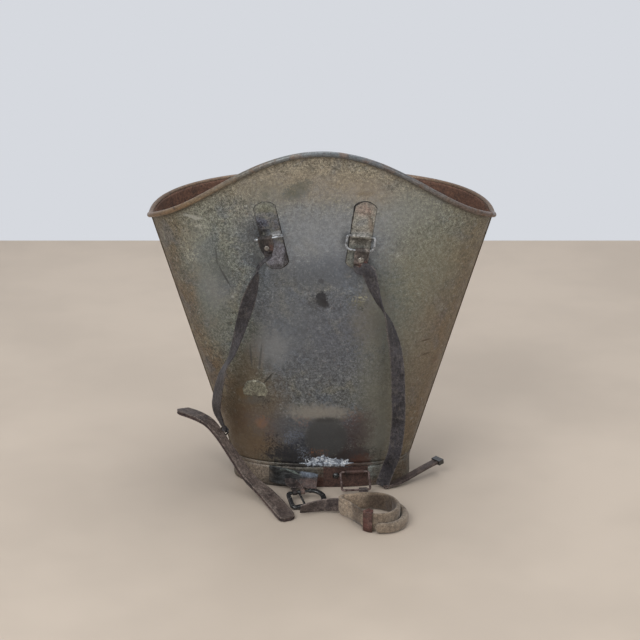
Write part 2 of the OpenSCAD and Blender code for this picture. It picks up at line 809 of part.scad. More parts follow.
// Billet: a short strap from the foot tab, folded round the floor buckle's back bar
billet_w = 22;
billet_t = strap_t * 0.8;
billet_fold_l = 9;
module billet() {
    c = [cos(floor_turn), sin(floor_turn), 0];
    u = [-sin(floor_turn) * cos(floor_tilt), cos(floor_turn) * cos(floor_tilt), sin(floor_tilt)];
    n = cross(c, u);
    e = floor_at + floor_x * c + u * (floor_bar_d / 2 + pin_gap + billet_fold_l - bite);
    f = e + u * 5;
    top = before_wall(-54, 13, 22);
    color(pink_leather)
        strip([
            [top.x, top.y, top.z, 0, 1], [top.x + 2, top.y - 11, 17, 0, 1],
            [f.x, f.y, f.z, 0, 1], [e.x, e.y, e.z, 0, 1]
        ], flat(billet_w, billet_t), [0, 0, 1], 4);
}
module billet_fold() {
    r = floor_bar_d / 2 + pin_gap;
    color(pink_leather)
        on_floor_buckle()
            translate([floor_x, 0, 0])
                difference() {
                    union() {
                        translate([-billet_w / 2, 0, 0])
                            rotate([0, 90, 0])
                                cylinder(r = r + billet_t, h = billet_w, $fn = 48);
                        translate([-billet_w / 2, 0, -billet_t / 2])
                            cube([billet_w, r + billet_fold_l, billet_t]);
                    }
                    translate([-billet_w / 2 - 1, 0, 0])
                        rotate([0, 90, 0])
                            cylinder(r = r, h = billet_w + 2, $fn = 48);
                    translate([-3, -r - billet_t - 1, -r - billet_t - 1])
                        cube([6, 2 * r + billet_t + 4.6, 2 * (r + billet_t + 1)]);
                }
}

// Shoulder pad: a felt band closed in a loop on its edge
pad_path = [
    [31, -190], [52, -180], [76, -175], [99, -177], [117, -189], [128, -212], [126, -238],
    [113, -255], [96, -260], [80, -259], [66, -243], [48, -216]
];
function loop_at(p, i, t) =
    let (n = len(p))
    let (a = p[(i + n - 1) % n], b = p[i], c = p[(i + 1) % n], d = p[(i + 2) % n])
    0.5 * (2 * b + (c - a) * t + (2 * a - 5 * b + 4 * c - d) * t * t
        + (3 * b - a - 3 * c + d) * t * t * t);
pad_steps = 4;
pad_points = [
    for (i = [0 : len(pad_path) - 1], k = [0 : pad_steps - 1])
        let (q = by_foot(loop_at(pad_path, i, k / pad_steps))) [q.x, q.y, pad_h / 2]
];
pad_n = len(pad_points);
function pad_dir(i) = unit(pad_points[(i + 1) % pad_n] - pad_points[(i + pad_n - 1) % pad_n]);
function pad_ring(i, section, off = 0, down = 0) =
    let (t = pad_dir(i), s = unit(cross([0, 0, 1], t)))
    strip_ring(pad_points[i] + s * off - [0, 0, down], t, [0, 0, 1], 0, section, 1);
module pad_band() {
    color(felt)
        skin([for (i = [0 : pad_n - 1]) pad_ring(i, soft(pad_t, pad_h, pad_t / 4))], closed = true);
}
module pad_low_layer() {
    from = 13;
    to = 34;
    color(felt)
        skin([
            for (i = [from : to])
                pad_ring(i, soft(pad_t, pad_low_h, pad_t / 4),
                    pad_t + 0.1 + 5 * sin(180 * (i - from) / (to - from)), (pad_h - pad_low_h) / 2)
        ]);
}
module pad_keeper() {
    color(rust)
        skin([for (i = [36 : 38]) pad_ring(i, cap(pad_t + 0.2, pad_h + 0.2, strap_t))]);
}
pad_strap_rows = [
    [32, -194, 17, 90, 1], [22, -193, 17, 90, 1], [4, -192, 15.5, 84, 1],
    [-14, -195, 14, 74, 1], [-30, -200, 13, 62, 1], [-36, -202, 12.5, 58, 0.9]
];
module pad_strap() {
    color(black_leather)
        strip([for (r = pad_strap_rows) by_foot(r)], flat(strap_w, strap_t), [0, 0, 1], 3);
}
tie_x = 12;
tie_w = 15;
tie_t = strap_t * 0.8;
tie_fold_l = 9;
module on_tie_bar() {
    on_wall(lower_x, lower_z, 0)
        translate([tie_x, barrel_y, 0])
            rotate([-lower_swing, 0, 0])
                translate([0, 0, -lower_ring_l])
                    rotate([lower_swing, 0, 0])
                        children();
}
module tie_loop() {
    color(black_leather)
        on_tie_bar()
            difference() {
                union() {
                    translate([-tie_w / 2, 0, 0])
                        rotate([0, 90, 0])
                            cylinder(r = bore_r + tie_t, h = tie_w, $fn = 48);
                    translate([-tie_w / 2, -bore_r - tie_fold_l, -tie_t / 2])
                        cube([tie_w, bore_r + tie_fold_l, tie_t]);
                }
                translate([-tie_w / 2 - 1, 0, 0])
                    rotate([0, 90, 0])
                        cylinder(r = bore_r, h = tie_w + 2, $fn = 48);
            }
}
module tie_strap() {
    b = from_wall([tie_x, barrel_y, 0] + rot_x([0, 0, -lower_ring_l], -lower_swing),
        lower_x, lower_z, 0);
    u = rot_z([0, -1, 0], wall_turn(lower_x, lower_z));
    p = b + u * (bore_r + tie_fold_l - bite);
    q = p + u * 5;
    e = pad_points[5] + [0, pad_t / 2 - bite, 6 - pad_h / 2];
    color(black_leather)
        strip([
            [p.x, p.y, p.z, 0, 1], [q.x, q.y, q.z, 0, 1],
            [(q.x + e.x) / 2, (q.y + e.y) / 2, 6, 0, 1], [e.x, e.y, e.z, 0, 1]
        ], flat(tie_w, tie_t), [0, 0, 1], 4);
}

back_sheet();
front_sheet();
left_seam();
right_seam();
rim_bead();
rim_wire();
foot_seam();
base_plate();
foot_band();
left_chape();
right_chape();
lower_chape();
lower_chape_rivet();
left_ring();
right_ring();
lower_ring();
left_strap_loop();
left_strap();
left_strap_fold();
left_strap_rivet();
slide_loop();
stout_strap();
stout_strap_lining();
right_strap_loop();
right_strap();
right_strap_rivet();
rear_strap();
rear_strap_tip();
foot_tab();
billet();
billet_fold();
floor_buckle();
floor_buckle_tongue();
tie_loop();
tie_strap();
pad_band();
pad_low_layer();
pad_keeper();
pad_strap();
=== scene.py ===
# Dressed scene of a galvanised grape hod with its leather harness, in metres.
# The wearer's side faces -Y, +Z is up, and the origin is on the floor under the middle of the foot.
import math

import bmesh
import bpy
from bpy.props import FloatProperty, FloatVectorProperty, PointerProperty
from mathutils import Matrix, Vector, noise


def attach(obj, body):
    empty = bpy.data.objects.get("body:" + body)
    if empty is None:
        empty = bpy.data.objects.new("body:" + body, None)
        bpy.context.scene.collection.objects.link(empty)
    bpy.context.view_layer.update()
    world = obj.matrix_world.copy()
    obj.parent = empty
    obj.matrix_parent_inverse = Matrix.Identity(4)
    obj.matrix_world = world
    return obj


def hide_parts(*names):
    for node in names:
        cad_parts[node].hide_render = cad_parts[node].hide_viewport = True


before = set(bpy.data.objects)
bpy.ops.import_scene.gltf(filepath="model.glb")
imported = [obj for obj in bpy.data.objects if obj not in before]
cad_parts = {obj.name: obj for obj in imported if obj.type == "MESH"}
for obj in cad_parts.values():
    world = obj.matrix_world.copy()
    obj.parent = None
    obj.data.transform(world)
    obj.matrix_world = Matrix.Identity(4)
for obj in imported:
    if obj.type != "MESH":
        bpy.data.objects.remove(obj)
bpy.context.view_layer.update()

bl_info = {
    "name": "Grape Hod Dresser",
    "version": (1, 0, 0),
    "blender": (4, 5, 0),
    "location": "3D View > Sidebar > Grape Hod",
    "description": "Builds the sheets, finishes, harness, pad and stage of a galvanised grape hod",
    "category": "Object",
}

MM = 0.001


def paint(red, green, blue):
    """Scene-linear colour of a paint sample given from 0 to 255"""
    samples = [value / 255 for value in (red, green, blue)]
    return tuple(v / 12.92 if v <= 0.04045 else ((v + 0.055) / 1.055) ** 2.4 for v in samples)


# Sizes and colours that a user would change
class HodSizes(bpy.types.PropertyGroup):
    """Sizes of the metal body"""

    foot_width: FloatProperty(
        name="Foot Width", description="Width of the foot",
        default=0.316, min=0.2, max=0.5, unit='LENGTH', subtype='DISTANCE')
    foot_back: FloatProperty(
        name="Foot Back", description="Depth of the foot behind its widest line",
        default=0.083, min=0.05, max=0.2, unit='LENGTH', subtype='DISTANCE')
    foot_front: FloatProperty(
        name="Foot Front", description="Depth of the foot in front of its widest line",
        default=0.118, min=0.05, max=0.2, unit='LENGTH', subtype='DISTANCE')
    foot_height: FloatProperty(
        name="Foot Height", description="Height of the middle of the foot seam",
        default=0.042, min=0.02, max=0.08, unit='LENGTH', subtype='DISTANCE')
    foot_squareness: FloatProperty(
        name="Foot Squareness", description="Squareness of the foot outline, where 2 is an ellipse",
        default=2.6, min=2.0, max=4.0, subtype='FACTOR')
    mouth_width: FloatProperty(
        name="Mouth Width", description="Width of the mouth over the sheets",
        default=0.584, min=0.4, max=0.8, unit='LENGTH', subtype='DISTANCE')
    mouth_back: FloatProperty(
        name="Mouth Back", description="Depth of the mouth behind its widest line",
        default=0.148, min=0.1, max=0.3, unit='LENGTH', subtype='DISTANCE')
    mouth_front: FloatProperty(
        name="Mouth Front", description="Depth of the mouth in front of its widest line",
        default=0.218, min=0.1, max=0.4, unit='LENGTH', subtype='DISTANCE')
    mouth_shift: FloatProperty(
        name="Mouth Shift", description="Distance from the foot's widest line forward to the mouth's",
        default=0.015, min=0.0, max=0.05, unit='LENGTH', subtype='DISTANCE')
    mouth_squareness: FloatProperty(
        name="Mouth Squareness", description="Squareness of the mouth outline, where 2 is an ellipse",
        default=2.3, min=2.0, max=4.0, subtype='FACTOR')
    side_height: FloatProperty(
        name="Side Height", description="Height of the rim at its two low sides",
        default=0.472, min=0.3, max=0.7, unit='LENGTH', subtype='DISTANCE')
    back_lift: FloatProperty(
        name="Back Lift", description="How far the rim sweeps up towards the wearer",
        default=0.046, min=0.0, max=0.1, unit='LENGTH', subtype='DISTANCE')
    crest_lift: FloatProperty(
        name="Crest Lift", description="Extra height of the rounded crest",
        default=0.1, min=0.0, max=0.2, unit='LENGTH', subtype='DISTANCE')
    front_lift: FloatProperty(
        name="Front Lift", description="How far the rim rises in front",
        default=0.017, min=0.0, max=0.05, unit='LENGTH', subtype='DISTANCE')
    sheet: FloatProperty(
        name="Sheet", description="Thickness of the galvanised sheet",
        default=0.0011, min=0.0005, max=0.003, unit='LENGTH', subtype='DISTANCE')
    rim: FloatProperty(
        name="Rim", description="Diameter of the rolled rim",
        default=0.009, min=0.005, max=0.02, unit='LENGTH', subtype='DISTANCE')
    fold_height: FloatProperty(
        name="Foot Fold Height", description="Height of the folded foot seam",
        default=0.006, min=0.003, max=0.01, unit='LENGTH', subtype='DISTANCE')
    fold_depth: FloatProperty(
        name="Foot Fold Depth", description="How far the foot seam stands out from the wall",
        default=0.0018, min=0.001, max=0.004, unit='LENGTH', subtype='DISTANCE')
    dents: FloatProperty(
        name="Dents", description="Depth of the shallow dents in the sheets",
        default=0.0007, min=0.0, max=0.003, unit='LENGTH', subtype='DISTANCE')


class HarnessSizes(bpy.types.PropertyGroup):
    """Sizes of the leather harness and the pad"""

    strap_width: FloatProperty(
        name="Strap Width", description="Width of the two carrying straps",
        default=0.024, min=0.01, max=0.05, unit='LENGTH', subtype='DISTANCE')
    strap: FloatProperty(
        name="Strap Thickness", description="Thickness of the carrying straps",
        default=0.0026, min=0.001, max=0.006, unit='LENGTH', subtype='DISTANCE')
    stout_width: FloatProperty(
        name="Stout Strap Width", description="Width of the stout two-layer strap",
        default=0.030, min=0.01, max=0.05, unit='LENGTH', subtype='DISTANCE')
    stout: FloatProperty(
        name="Stout Strap Layer", description="Thickness of each layer of the stout strap",
        default=0.0038, min=0.001, max=0.006, unit='LENGTH', subtype='DISTANCE')
    tab_width: FloatProperty(
        name="Foot Tab Width", description="Width of the tab that stands along the foot",
        default=0.030, min=0.01, max=0.05, unit='LENGTH', subtype='DISTANCE')
    tab: FloatProperty(
        name="Foot Tab Thickness", description="Thickness of the foot tab",
        default=0.0035, min=0.001, max=0.006, unit='LENGTH', subtype='DISTANCE')
    pad_height: FloatProperty(
        name="Pad Height", description="Height of the pad band",
        default=0.034, min=0.02, max=0.06, unit='LENGTH', subtype='DISTANCE')
    pad: FloatProperty(
        name="Pad Thickness", description="Thickness of the pad band",
        default=0.009, min=0.004, max=0.02, unit='LENGTH', subtype='DISTANCE')
    pad_layer: FloatProperty(
        name="Outer Layer Height", description="Height of the pad's outer layer",
        default=0.019, min=0.01, max=0.04, unit='LENGTH', subtype='DISTANCE')


class HodColours(bpy.types.PropertyGroup):
    """Colours of the finishes and the stage"""

    zinc: FloatVectorProperty(
        name="Zinc", description="Colour of the dull galvanising",
        default=paint(98, 101, 104), size=3, min=0, max=1, subtype='COLOR')
    # The brown of the wall's sides is painted reflection of the floor on the curved sheet
    warm_zinc: FloatVectorProperty(
        name="Zinc Sides", description="Colour of the stained sides",
        default=paint(104, 92, 74), size=3, min=0, max=1, subtype='COLOR')
    rust: FloatVectorProperty(
        name="Rust", description="Colour of the rusted inside",
        default=paint(92, 64, 50), size=3, min=0, max=1, subtype='COLOR')
    soot: FloatVectorProperty(
        name="Soot", description="Colour of the blackened patches",
        default=paint(42, 42, 45), size=3, min=0, max=1, subtype='COLOR')
    black_leather: FloatVectorProperty(
        name="Dark Leather", description="Colour of the dark straps",
        default=paint(62, 60, 64), size=3, min=0, max=1, subtype='COLOR')
    brown_leather: FloatVectorProperty(
        name="Brown Leather", description="Colour of the stout strap",
        default=paint(92, 80, 74), size=3, min=0, max=1, subtype='COLOR')
    red_leather: FloatVectorProperty(
        name="Red Leather", description="Colour of the red-brown leather",
        default=paint(96, 62, 56), size=3, min=0, max=1, subtype='COLOR')
    pale_leather: FloatVectorProperty(
        name="Pale Leather", description="Colour of the worn pale leather",
        default=paint(128, 106, 98), size=3, min=0, max=1, subtype='COLOR')
    felt: FloatVectorProperty(
        name="Felt", description="Colour of the pad",
        default=paint(150, 135, 118), size=3, min=0, max=1, subtype='COLOR')
    enamel: FloatVectorProperty(
        name="Black Enamel", description="Colour of the buckles",
        default=paint(30, 30, 31), size=3, min=0, max=1, subtype='COLOR')
    floor: FloatVectorProperty(
        name="Floor", description="Colour of the plain floor",
        default=paint(188, 175, 161), size=3, min=0, max=1, subtype='COLOR')
    backdrop: FloatVectorProperty(
        name="Backdrop", description="Colour of the plain backdrop",
        default=paint(214, 217, 223), size=3, min=0, max=1, subtype='COLOR')


def sizes():
    return bpy.context.scene.hod_sizes


def harness():
    return bpy.context.scene.harness_sizes


def colours():
    return bpy.context.scene.hod_colours


# Shape of the wall, which the sheets, the rim and the harness follow
def outline(turn, width, back, front, power):
    depth = back if math.sin(turn) < 0 else front
    reach = (abs(math.cos(turn)) * 2 / width) ** power + (abs(math.sin(turn)) / depth) ** power
    return Vector((math.cos(turn), math.sin(turn))) / reach ** (1 / power)


class Wall:
    """The tapered wall: upright below the foot seam, straight lines from foot to mouth above it"""

    def __init__(self):
        self.sizes = sizes()

    def foot(self, turn):
        s = self.sizes
        return outline(turn, s.foot_width, s.foot_back, s.foot_front, s.foot_squareness)

    def mouth(self, turn):
        s = self.sizes
        shape = outline(turn, s.mouth_width, s.mouth_back, s.mouth_front, s.mouth_squareness)
        return shape + Vector((0, s.mouth_shift))

    def rise(self, z):
        s = self.sizes
        return max(0.0, (z - s.foot_height) / (s.side_height - s.foot_height))

    def plan(self, turn, z):
        low = self.foot(turn)
        return low + (self.mouth(turn) - low) * self.rise(z)

    def out(self, turn, z):
        step = math.radians(0.5)
        along = self.plan(turn + step, z) - self.plan(turn - step, z)
        return Vector((along.y, -along.x)).normalized()

    def at(self, turn, z, off=0.0):
        place = self.plan(turn, z) + self.out(turn, z) * off
        return Vector((place.x, place.y, z))

    def half_width(self, z):
        return self.plan(0.0, z).x

    def rim_height(self, turn):
        s = self.sizes
        share = min(1.0, abs(self.mouth(turn).x) / (s.mouth_width / 2))
        swell = math.sqrt(1 - share * share)
        if math.sin(turn) < 0:
            return s.side_height + s.back_lift * swell + s.crest_lift * (1 + math.cos(math.pi * share)) / 2
        return s.side_height + s.front_lift * swell

    def rim_centre(self, turn):
        return self.at(turn, self.rim_height(turn), self.sizes.rim / 2 - self.sizes.sheet)

    def rim_point(self, turn, around, radius):
        step = math.radians(0.5)
        along = (self.rim_centre(turn + step) - self.rim_centre(turn - step)).normalized()
        side = along.cross(Vector((0, 0, 1))).normalized()
        up = side.cross(along)
        return self.rim_centre(turn) + radius * (math.cos(around) * side + math.sin(around) * up)

    def turn_at(self, x, z):
        """Angle at which the wearer's side of the wall has a given x"""
        low = math.pi
        high = 2 * math.pi
        for _ in range(26):
            middle = (low + high) / 2
            if self.plan(middle, z).x < x:
                low = middle
            else:
                high = middle
        return (low + high) / 2

    def before(self, x, gap, z):
        return Vector((x, self.plan(self.turn_at(x, z), z).y - gap, z))

    def frame(self, x, z, tilt=0.0):
        """Frame on the wearer's side, with -Y outwards and Z up along the wall"""
        turn = self.turn_at(x, z)
        out = self.out(turn, z)
        slope = (self.plan(turn, z + MM) - self.plan(turn, z - MM)).dot(out) / (2 * MM)
        return (
            Matrix.Translation(self.at(turn, z))
            @ Matrix.Rotation(math.atan2(out.x, -out.y), 4, 'Z')
            @ Matrix.Rotation(math.atan(slope), 4, 'X')
            @ Matrix.Rotation(math.radians(tilt), 4, 'Y')
        )


# Routes: rows of x, y, z, roll and share of the width, smoothed into frames along a strap
def curve_row(rows, i, t):
    last = len(rows) - 1
    picks = (rows[max(0, i - 1)], rows[i], rows[min(last, i + 1)], rows[min(last, i + 2)])
    return [
        0.5 * (2 * b + (c - a) * t + (2 * a - 5 * b + 4 * c - d) * t ** 2 + (3 * b - a - 3 * c + d) * t ** 3)
        for a, b, c, d in zip(*picks)
    ]


def smooth_rows(rows, steps):
    smooth = [curve_row(rows, i, k / steps) for i in range(len(rows) - 1) for k in range(steps)]
    return smooth + [list(rows[-1])]


def roll_to(along, face, across, near):
    """Roll, in degrees, that lays a strap's width along a direction"""
    side = face.cross(along).normalized()
    up = along.cross(side)
    roll = math.degrees(math.atan2(up.dot(across), side.dot(across)))
    return roll + 180 * round((near - roll) / 180)


def route_frames(rows, face, steps):
    """Frames of a strap: centre, direction of its width, and share of its full width"""
    smooth = smooth_rows(rows, steps)
    frames = []
    for i, row in enumerate(smooth):
        ahead = Vector(smooth[min(len(smooth) - 1, i + 1)][:3])
        behind = Vector(smooth[max(0, i - 1)][:3])
        along = (ahead - behind).normalized()
        side = face.cross(along).normalized()
        up = along.cross(side)
        roll = math.radians(row[3])
        frames.append((Vector(row[:3]), math.cos(roll) * side + math.sin(roll) * up, row[4]))
    return frames


def in_metres(rows):
    return [[row[0] * MM, row[1] * MM, row[2] * MM, row[3], row[4]] for row in rows]


# Meshes: every piece starts from a grid whose points are carried into place
def grid_mesh(columns, rows, place, chart):
    """Grid whose points go to place(u, v), with chart(u, v) on the UV map"""
    mesh = bmesh.new()
    layer = mesh.loops.layers.uv.new("Surface")
    bmesh.ops.create_grid(mesh, x_segments=columns, y_segments=rows, size=0.5)
    shares = {vert: (vert.co.x + 0.5, vert.co.y + 0.5) for vert in mesh.verts}
    for face in mesh.faces:
        for loop in face.loops:
            loop[layer].uv = chart(*shares[loop.vert])
    for vert, (u, v) in shares.items():
        vert.co = place(u, v)
    return mesh


def tube_mesh(rings, chart, closed=False):
    """Skin over a row of rings, with chart(point number, ring number) on the UV map"""
    around = len(rings[0])
    steps = len(rings) if closed else len(rings) - 1

    def place(u, v):
        return rings[round(v * steps) % len(rings)][round(u * around) % around]

    mesh = grid_mesh(around, steps, place, lambda u, v: chart(round(u * around) % around, round(v * steps)))
    bmesh.ops.remove_doubles(mesh, verts=mesh.verts[:], dist=1e-6)
    if not closed:
        edges = [edge for edge in mesh.edges if edge.is_boundary]
        bmesh.ops.holes_fill(mesh, edges=edges, sides=0)
    bmesh.ops.recalc_face_normals(mesh, faces=mesh.faces[:])
    return mesh


def strap_outline(width, thick, cells=12):
    """Closed outline of a strap, flat with rounded edges, as pairs across and out"""
    edge = thick * 0.42
    flat = [-width / 2 + edge + (width - 2 * edge) * i / cells for i in range(cells + 1)]
    bend = [math.radians(a) for a in (60, 20, -20, -60)]
    right = [(width / 2 - edge + edge * math.cos(a), thick / 2 * math.sin(a)) for a in bend]
    left = [(-x, -y) for x, y in right]
    return [(x, thick / 2) for x in flat] + right + [(x, -thick / 2) for x in reversed(flat)] + left


def strap_mesh(frames, width, thick, cup=0.0, wave=0.0, shift=0.0, seed=0.0, tip=False):
    """Leather strap along its frames, with a cupped section, wavy edges and an uneven face"""
    rings = []
    spans = []
    travelled = [0.0]
    for before, after in zip(frames, frames[1:]):
        travelled.append(travelled[-1] + (after[0] - before[0]).length)
    for i, (centre, across, share) in enumerate(frames):
        ahead = frames[min(len(frames) - 1, i + 1)][0]
        behind = frames[max(0, i - 1)][0]
        along = (ahead - behind).normalized()
        side = (across - along * across.dot(along)).normalized()
        out = along.cross(side)
        place = Vector((travelled[i] * 60 + seed, seed, 0))
        sway = noise.noise(place) * wave
        ring = []
        span = []
        for x, y in strap_outline(width * share, thick):
            reach = 2 * x / width
            rough = noise.noise(Vector((x * 160, travelled[i] * 90, seed + 9))) * wave * 0.35
            edge = noise.noise(Vector((travelled[i] * 180, seed + math.copysign(3, x), 2))) * wave * 0.6
            lift = shift + cup * (reach * reach - 0.35) + rough
            ring.append(centre + side * (x + sway * 0.4 + edge * reach) + out * (y + lift))
            span.append(x)
        rings.append(ring)
        spans.append(span)
    last = len(frames) - 1
    return tube_mesh(rings, lambda column, row: (spans[min(row, last)][column], travelled[min(row, last)]))


def bar_bend(frame_of_bar, radius, start, end, steps, width_share=1.0):
    """Frames of leather bent round a bar along X, from one angle to another about it"""
    across = (frame_of_bar.to_3x3() @ Vector((1, 0, 0))).normalized()
    bend = []
    for i in range(steps + 1):
        angle = math.radians(start + (end - start) * i / steps)
        local = Vector((0, -radius * math.sin(angle), radius * math.cos(angle)))
        bend.append((frame_of_bar @ local, across, width_share))
    return bend


def settle(mesh, name, body, materials, stands_for=(), smooth=True):
    """Makes a finished piece of a mesh, on its body and with its finish"""
    data = bpy.data.meshes.new(name)
    mesh.to_mesh(data)
    mesh.free()
    data.polygons.foreach_set("use_smooth", [smooth] * len(data.polygons))
    piece = bpy.data.objects.new(name, data)
    bpy.context.scene.collection.objects.link(piece)
    for material in materials:
        data.materials.append(material)
    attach(piece, body)
    if stands_for:
        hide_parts(*stands_for)
    return piece


def soften(piece, levels=1):
    """Rounds a piece with live subdivision"""
    smooth = piece.modifiers.new("Rounding", 'SUBSURF')
    smooth.levels = levels
    smooth.render_levels = levels
    return piece


# Node trees: short names for the nodes that the finishes are built from
class Web:
    """Adds nodes to one tree and joins their sockets"""

    def __init__(self, tree):
        self.tree = tree
        self.count = 0

    def node(self, kind, inputs=None, **settings):
        node = self.tree.nodes.new(kind)
        node.location = (180 * (self.count % 12) - 2400, -220 * (self.count // 12))
        self.count += 1
        for key, value in settings.items():
            setattr(node, key, value)
        for key, value in (inputs or {}).items():
            self.feed(value, node.inputs[key])
        return node

    def feed(self, value, socket):
        if isinstance(value, bpy.types.NodeSocket):
            self.tree.links.new(value, socket)
        elif socket.type == 'RGBA' and len(value) == 3:
            socket.default_value = (*value, 1.0)
        else:
            socket.default_value = value

    def math(self, operation, first, second=0.0, clamp=False):
        node = self.node("ShaderNodeMath", {0: first, 1: second}, operation=operation, use_clamp=clamp)
        return node.outputs[0]

    def mix(self, share, first, second, blend='MIX'):
        node = self.node("ShaderNodeMix", {0: share, 6: first, 7: second}, data_type='RGBA', blend_type=blend)
        return node.outputs[2]

    def span(self, value, low, high, to_low=0.0, to_high=1.0):
        node = self.node(
            "ShaderNodeMapRange",
            {"Value": value, "From Min": low, "From Max": high, "To Min": to_low, "To Max": to_high},
            interpolation_type='SMOOTHSTEP')
        return node.outputs["Result"]

    def noise(self, place, scale, detail=3.0, rough=0.55, bend=0.0):
        node = self.node(
            "ShaderNodeTexNoise",
            {"Vector": place, "Scale": scale, "Detail": detail, "Roughness": rough, "Distortion": bend})
        return node.outputs["Fac"]

    def ramp(self, value, stops):
        node = self.node("ShaderNodeValToRGB", {"Fac": value})
        elements = node.color_ramp.elements
        while len(elements) < len(stops):
            elements.new(0.5)
        for element, (at, colour) in zip(elements, stops):
            element.position = at
            element.color = (*colour, 1.0)
        return node.outputs["Color"]

    def stretch(self, place, scale):
        node = self.node("ShaderNodeVectorMath", {0: place, 1: scale}, operation='MULTIPLY')
        return node.outputs[0]

    def bump(self, height, distance, strength=1.0, normal=None):
        inputs = {"Height": height, "Distance": distance, "Strength": strength}
        if normal:
            inputs["Normal"] = normal
        return self.node("ShaderNodeBump", inputs).outputs["Normal"]

    def group(self, tree, inputs):
        node = self.node("ShaderNodeGroup")
        node.node_tree = tree
        for key, value in inputs.items():
            self.feed(value, node.inputs[key])
        return node.outputs


def new_group(name, inputs, outputs):
    tree = bpy.data.node_groups.new(name, "ShaderNodeTree")
    for label, kind, value in inputs:
        socket = tree.interface.new_socket(name=label, in_out='INPUT', socket_type=kind)
        if value is not None:
            socket.default_value = value
    for label, kind in outputs:
        tree.interface.new_socket(name=label, in_out='OUTPUT', socket_type=kind)
    web = Web(tree)
    return tree, web, web.node("NodeGroupInput").outputs, web.node("NodeGroupOutput").inputs


def blotches_group():
    """Cloudy patches of a given size"""
    if "Blotches" in bpy.data.node_groups:
        return bpy.data.node_groups["Blotches"]
    tree, web, inside, outside = new_group(
        "Blotches",
        [("Place", 'NodeSocketVector', None), ("Size", 'NodeSocketFloat', 0.02),
         ("Low", 'NodeSocketFloat', 0.45), ("High", 'NodeSocketFloat', 0.65),
         ("Shift", 'NodeSocketFloat', 0.0)],
        [("Mask", 'NodeSocketFloat')])
    moved = web.node("ShaderNodeVectorMath", {0: inside["Place"], 1: inside["Shift"]}, operation='ADD')
    scale = web.math('DIVIDE', 1.0, inside["Size"])
    cloud = web.noise(moved.outputs[0], scale, 5.0, 0.6, 0.4)
    web.feed(web.span(cloud, inside["Low"], inside["High"]), outside["Mask"])
    return tree


def spot_group():
    """One ragged oval mark on the wall, placed by its distance across and its height"""
    if "Spot" in bpy.data.node_groups:
        return bpy.data.node_groups["Spot"]
    tree, web, inside, outside = new_group(
        "Spot",
        [("Place", 'NodeSocketVector', None), ("Across", 'NodeSocketFloat', 0.0),
         ("Up", 'NodeSocketFloat', 0.0), ("Half Width", 'NodeSocketFloat', 0.01),
         ("Half Height", 'NodeSocketFloat', 0.01), ("Turn", 'NodeSocketFloat', 0.0),
         ("Ragged", 'NodeSocketFloat', 0.3), ("Soft", 'NodeSocketFloat', 0.3),
         ("Broken", 'NodeSocketFloat', 0.0)],
        [("Mask", 'NodeSocketFloat')])
    parts = web.node("ShaderNodeSeparateXYZ", {0: inside["Place"]}).outputs
    across = web.math('SUBTRACT', parts["X"], inside["Across"])
    up = web.math('SUBTRACT', parts["Z"], inside["Up"])
    cosine = web.math('COSINE', inside["Turn"])
    sine = web.math('SINE', inside["Turn"])
    first = web.math('ADD', web.math('MULTIPLY', across, cosine), web.math('MULTIPLY', up, sine))
    second = web.math('SUBTRACT', web.math('MULTIPLY', up, cosine), web.math('MULTIPLY', across, sine))
    first = web.math('DIVIDE', first, inside["Half Width"])
    second = web.math('DIVIDE', second, inside["Half Height"])
    reach = web.math('ADD', web.math('MULTIPLY', first, first), web.math('MULTIPLY', second, second))
    reach = web.math('SQRT', reach)
    coarse = web.math('SUBTRACT', web.noise(inside["Place"], 110.0, 4.0, 0.65), 0.5)
    fine = web.math('SUBTRACT', web.noise(inside["Place"], 420.0, 2.0, 0.6), 0.5)
    torn = web.math('ADD', coarse, web.math('MULTIPLY', fine, 0.6))
    reach = web.math('ADD', reach, web.math('MULTIPLY', torn, web.math('MULTIPLY', inside["Ragged"], 3.0)))
    low = web.math('ADD', 1.0, inside["Soft"])
    high = web.math('SUBTRACT', 1.0, inside["Soft"])
    flecks = web.span(web.noise(inside["Place"], 300.0, 4.0, 0.75), 0.50, 0.56)
    kept = web.math('SUBTRACT', 1.0, web.math('MULTIPLY', inside["Broken"], web.math('SUBTRACT', 1.0, flecks)))
    web.feed(web.math('MULTIPLY', web.span(reach, low, high), kept), outside["Mask"])
    return tree


def grain_group():
    """Pebbled grain with fine creases, for leather"""
    if "Grain" in bpy.data.node_groups:
        return bpy.data.node_groups["Grain"]
    tree, web, inside, outside = new_group(
        "Grain",
        [("Place", 'NodeSocketVector', None), ("Size", 'NodeSocketFloat', 0.0012)],
        [("Height", 'NodeSocketFloat'), ("Creases", 'NodeSocketFloat')])
    scale = web.math('DIVIDE', 1.0, inside["Size"])
    pebbles = web.node("ShaderNodeTexVoronoi", {"Vector": inside["Place"], "Scale": scale}).outputs["Distance"]
    wander = web.noise(inside["Place"], web.math('MULTIPLY', scale, 0.22), 4.0, 0.65, 0.8)
    web.feed(web.math('ADD', pebbles, wander), outside["Height"])
    web.feed(web.span(wander, 0.56, 0.70), outside["Creases"])
    return tree


def edge_group():
    """Rubbed edges of a strap, from its own distance across"""
    if "Rubbed Edge" in bpy.data.node_groups:
        return bpy.data.node_groups["Rubbed Edge"]
    tree, web, inside, outside = new_group(
        "Rubbed Edge",
        [("Place", 'NodeSocketVector', None), ("Across", 'NodeSocketFloat', 0.0),
         ("Half Width", 'NodeSocketFloat', 0.012), ("Depth", 'NodeSocketFloat', 0.002)],
        [("Mask", 'NodeSocketFloat')])
    ragged = web.math('SUBTRACT', web.noise(inside["Place"], 240.0, 4.0, 0.7), 0.5)
    across = web.math('ABSOLUTE', inside["Across"])
    across = web.math('ADD', across, web.math('MULTIPLY', ragged, web.math('MULTIPLY', inside["Depth"], 2.4)))
    low = web.math('SUBTRACT', inside["Half Width"], inside["Depth"])
    web.feed(web.span(across, low, inside["Half Width"]), outside["Mask"])
    return tree


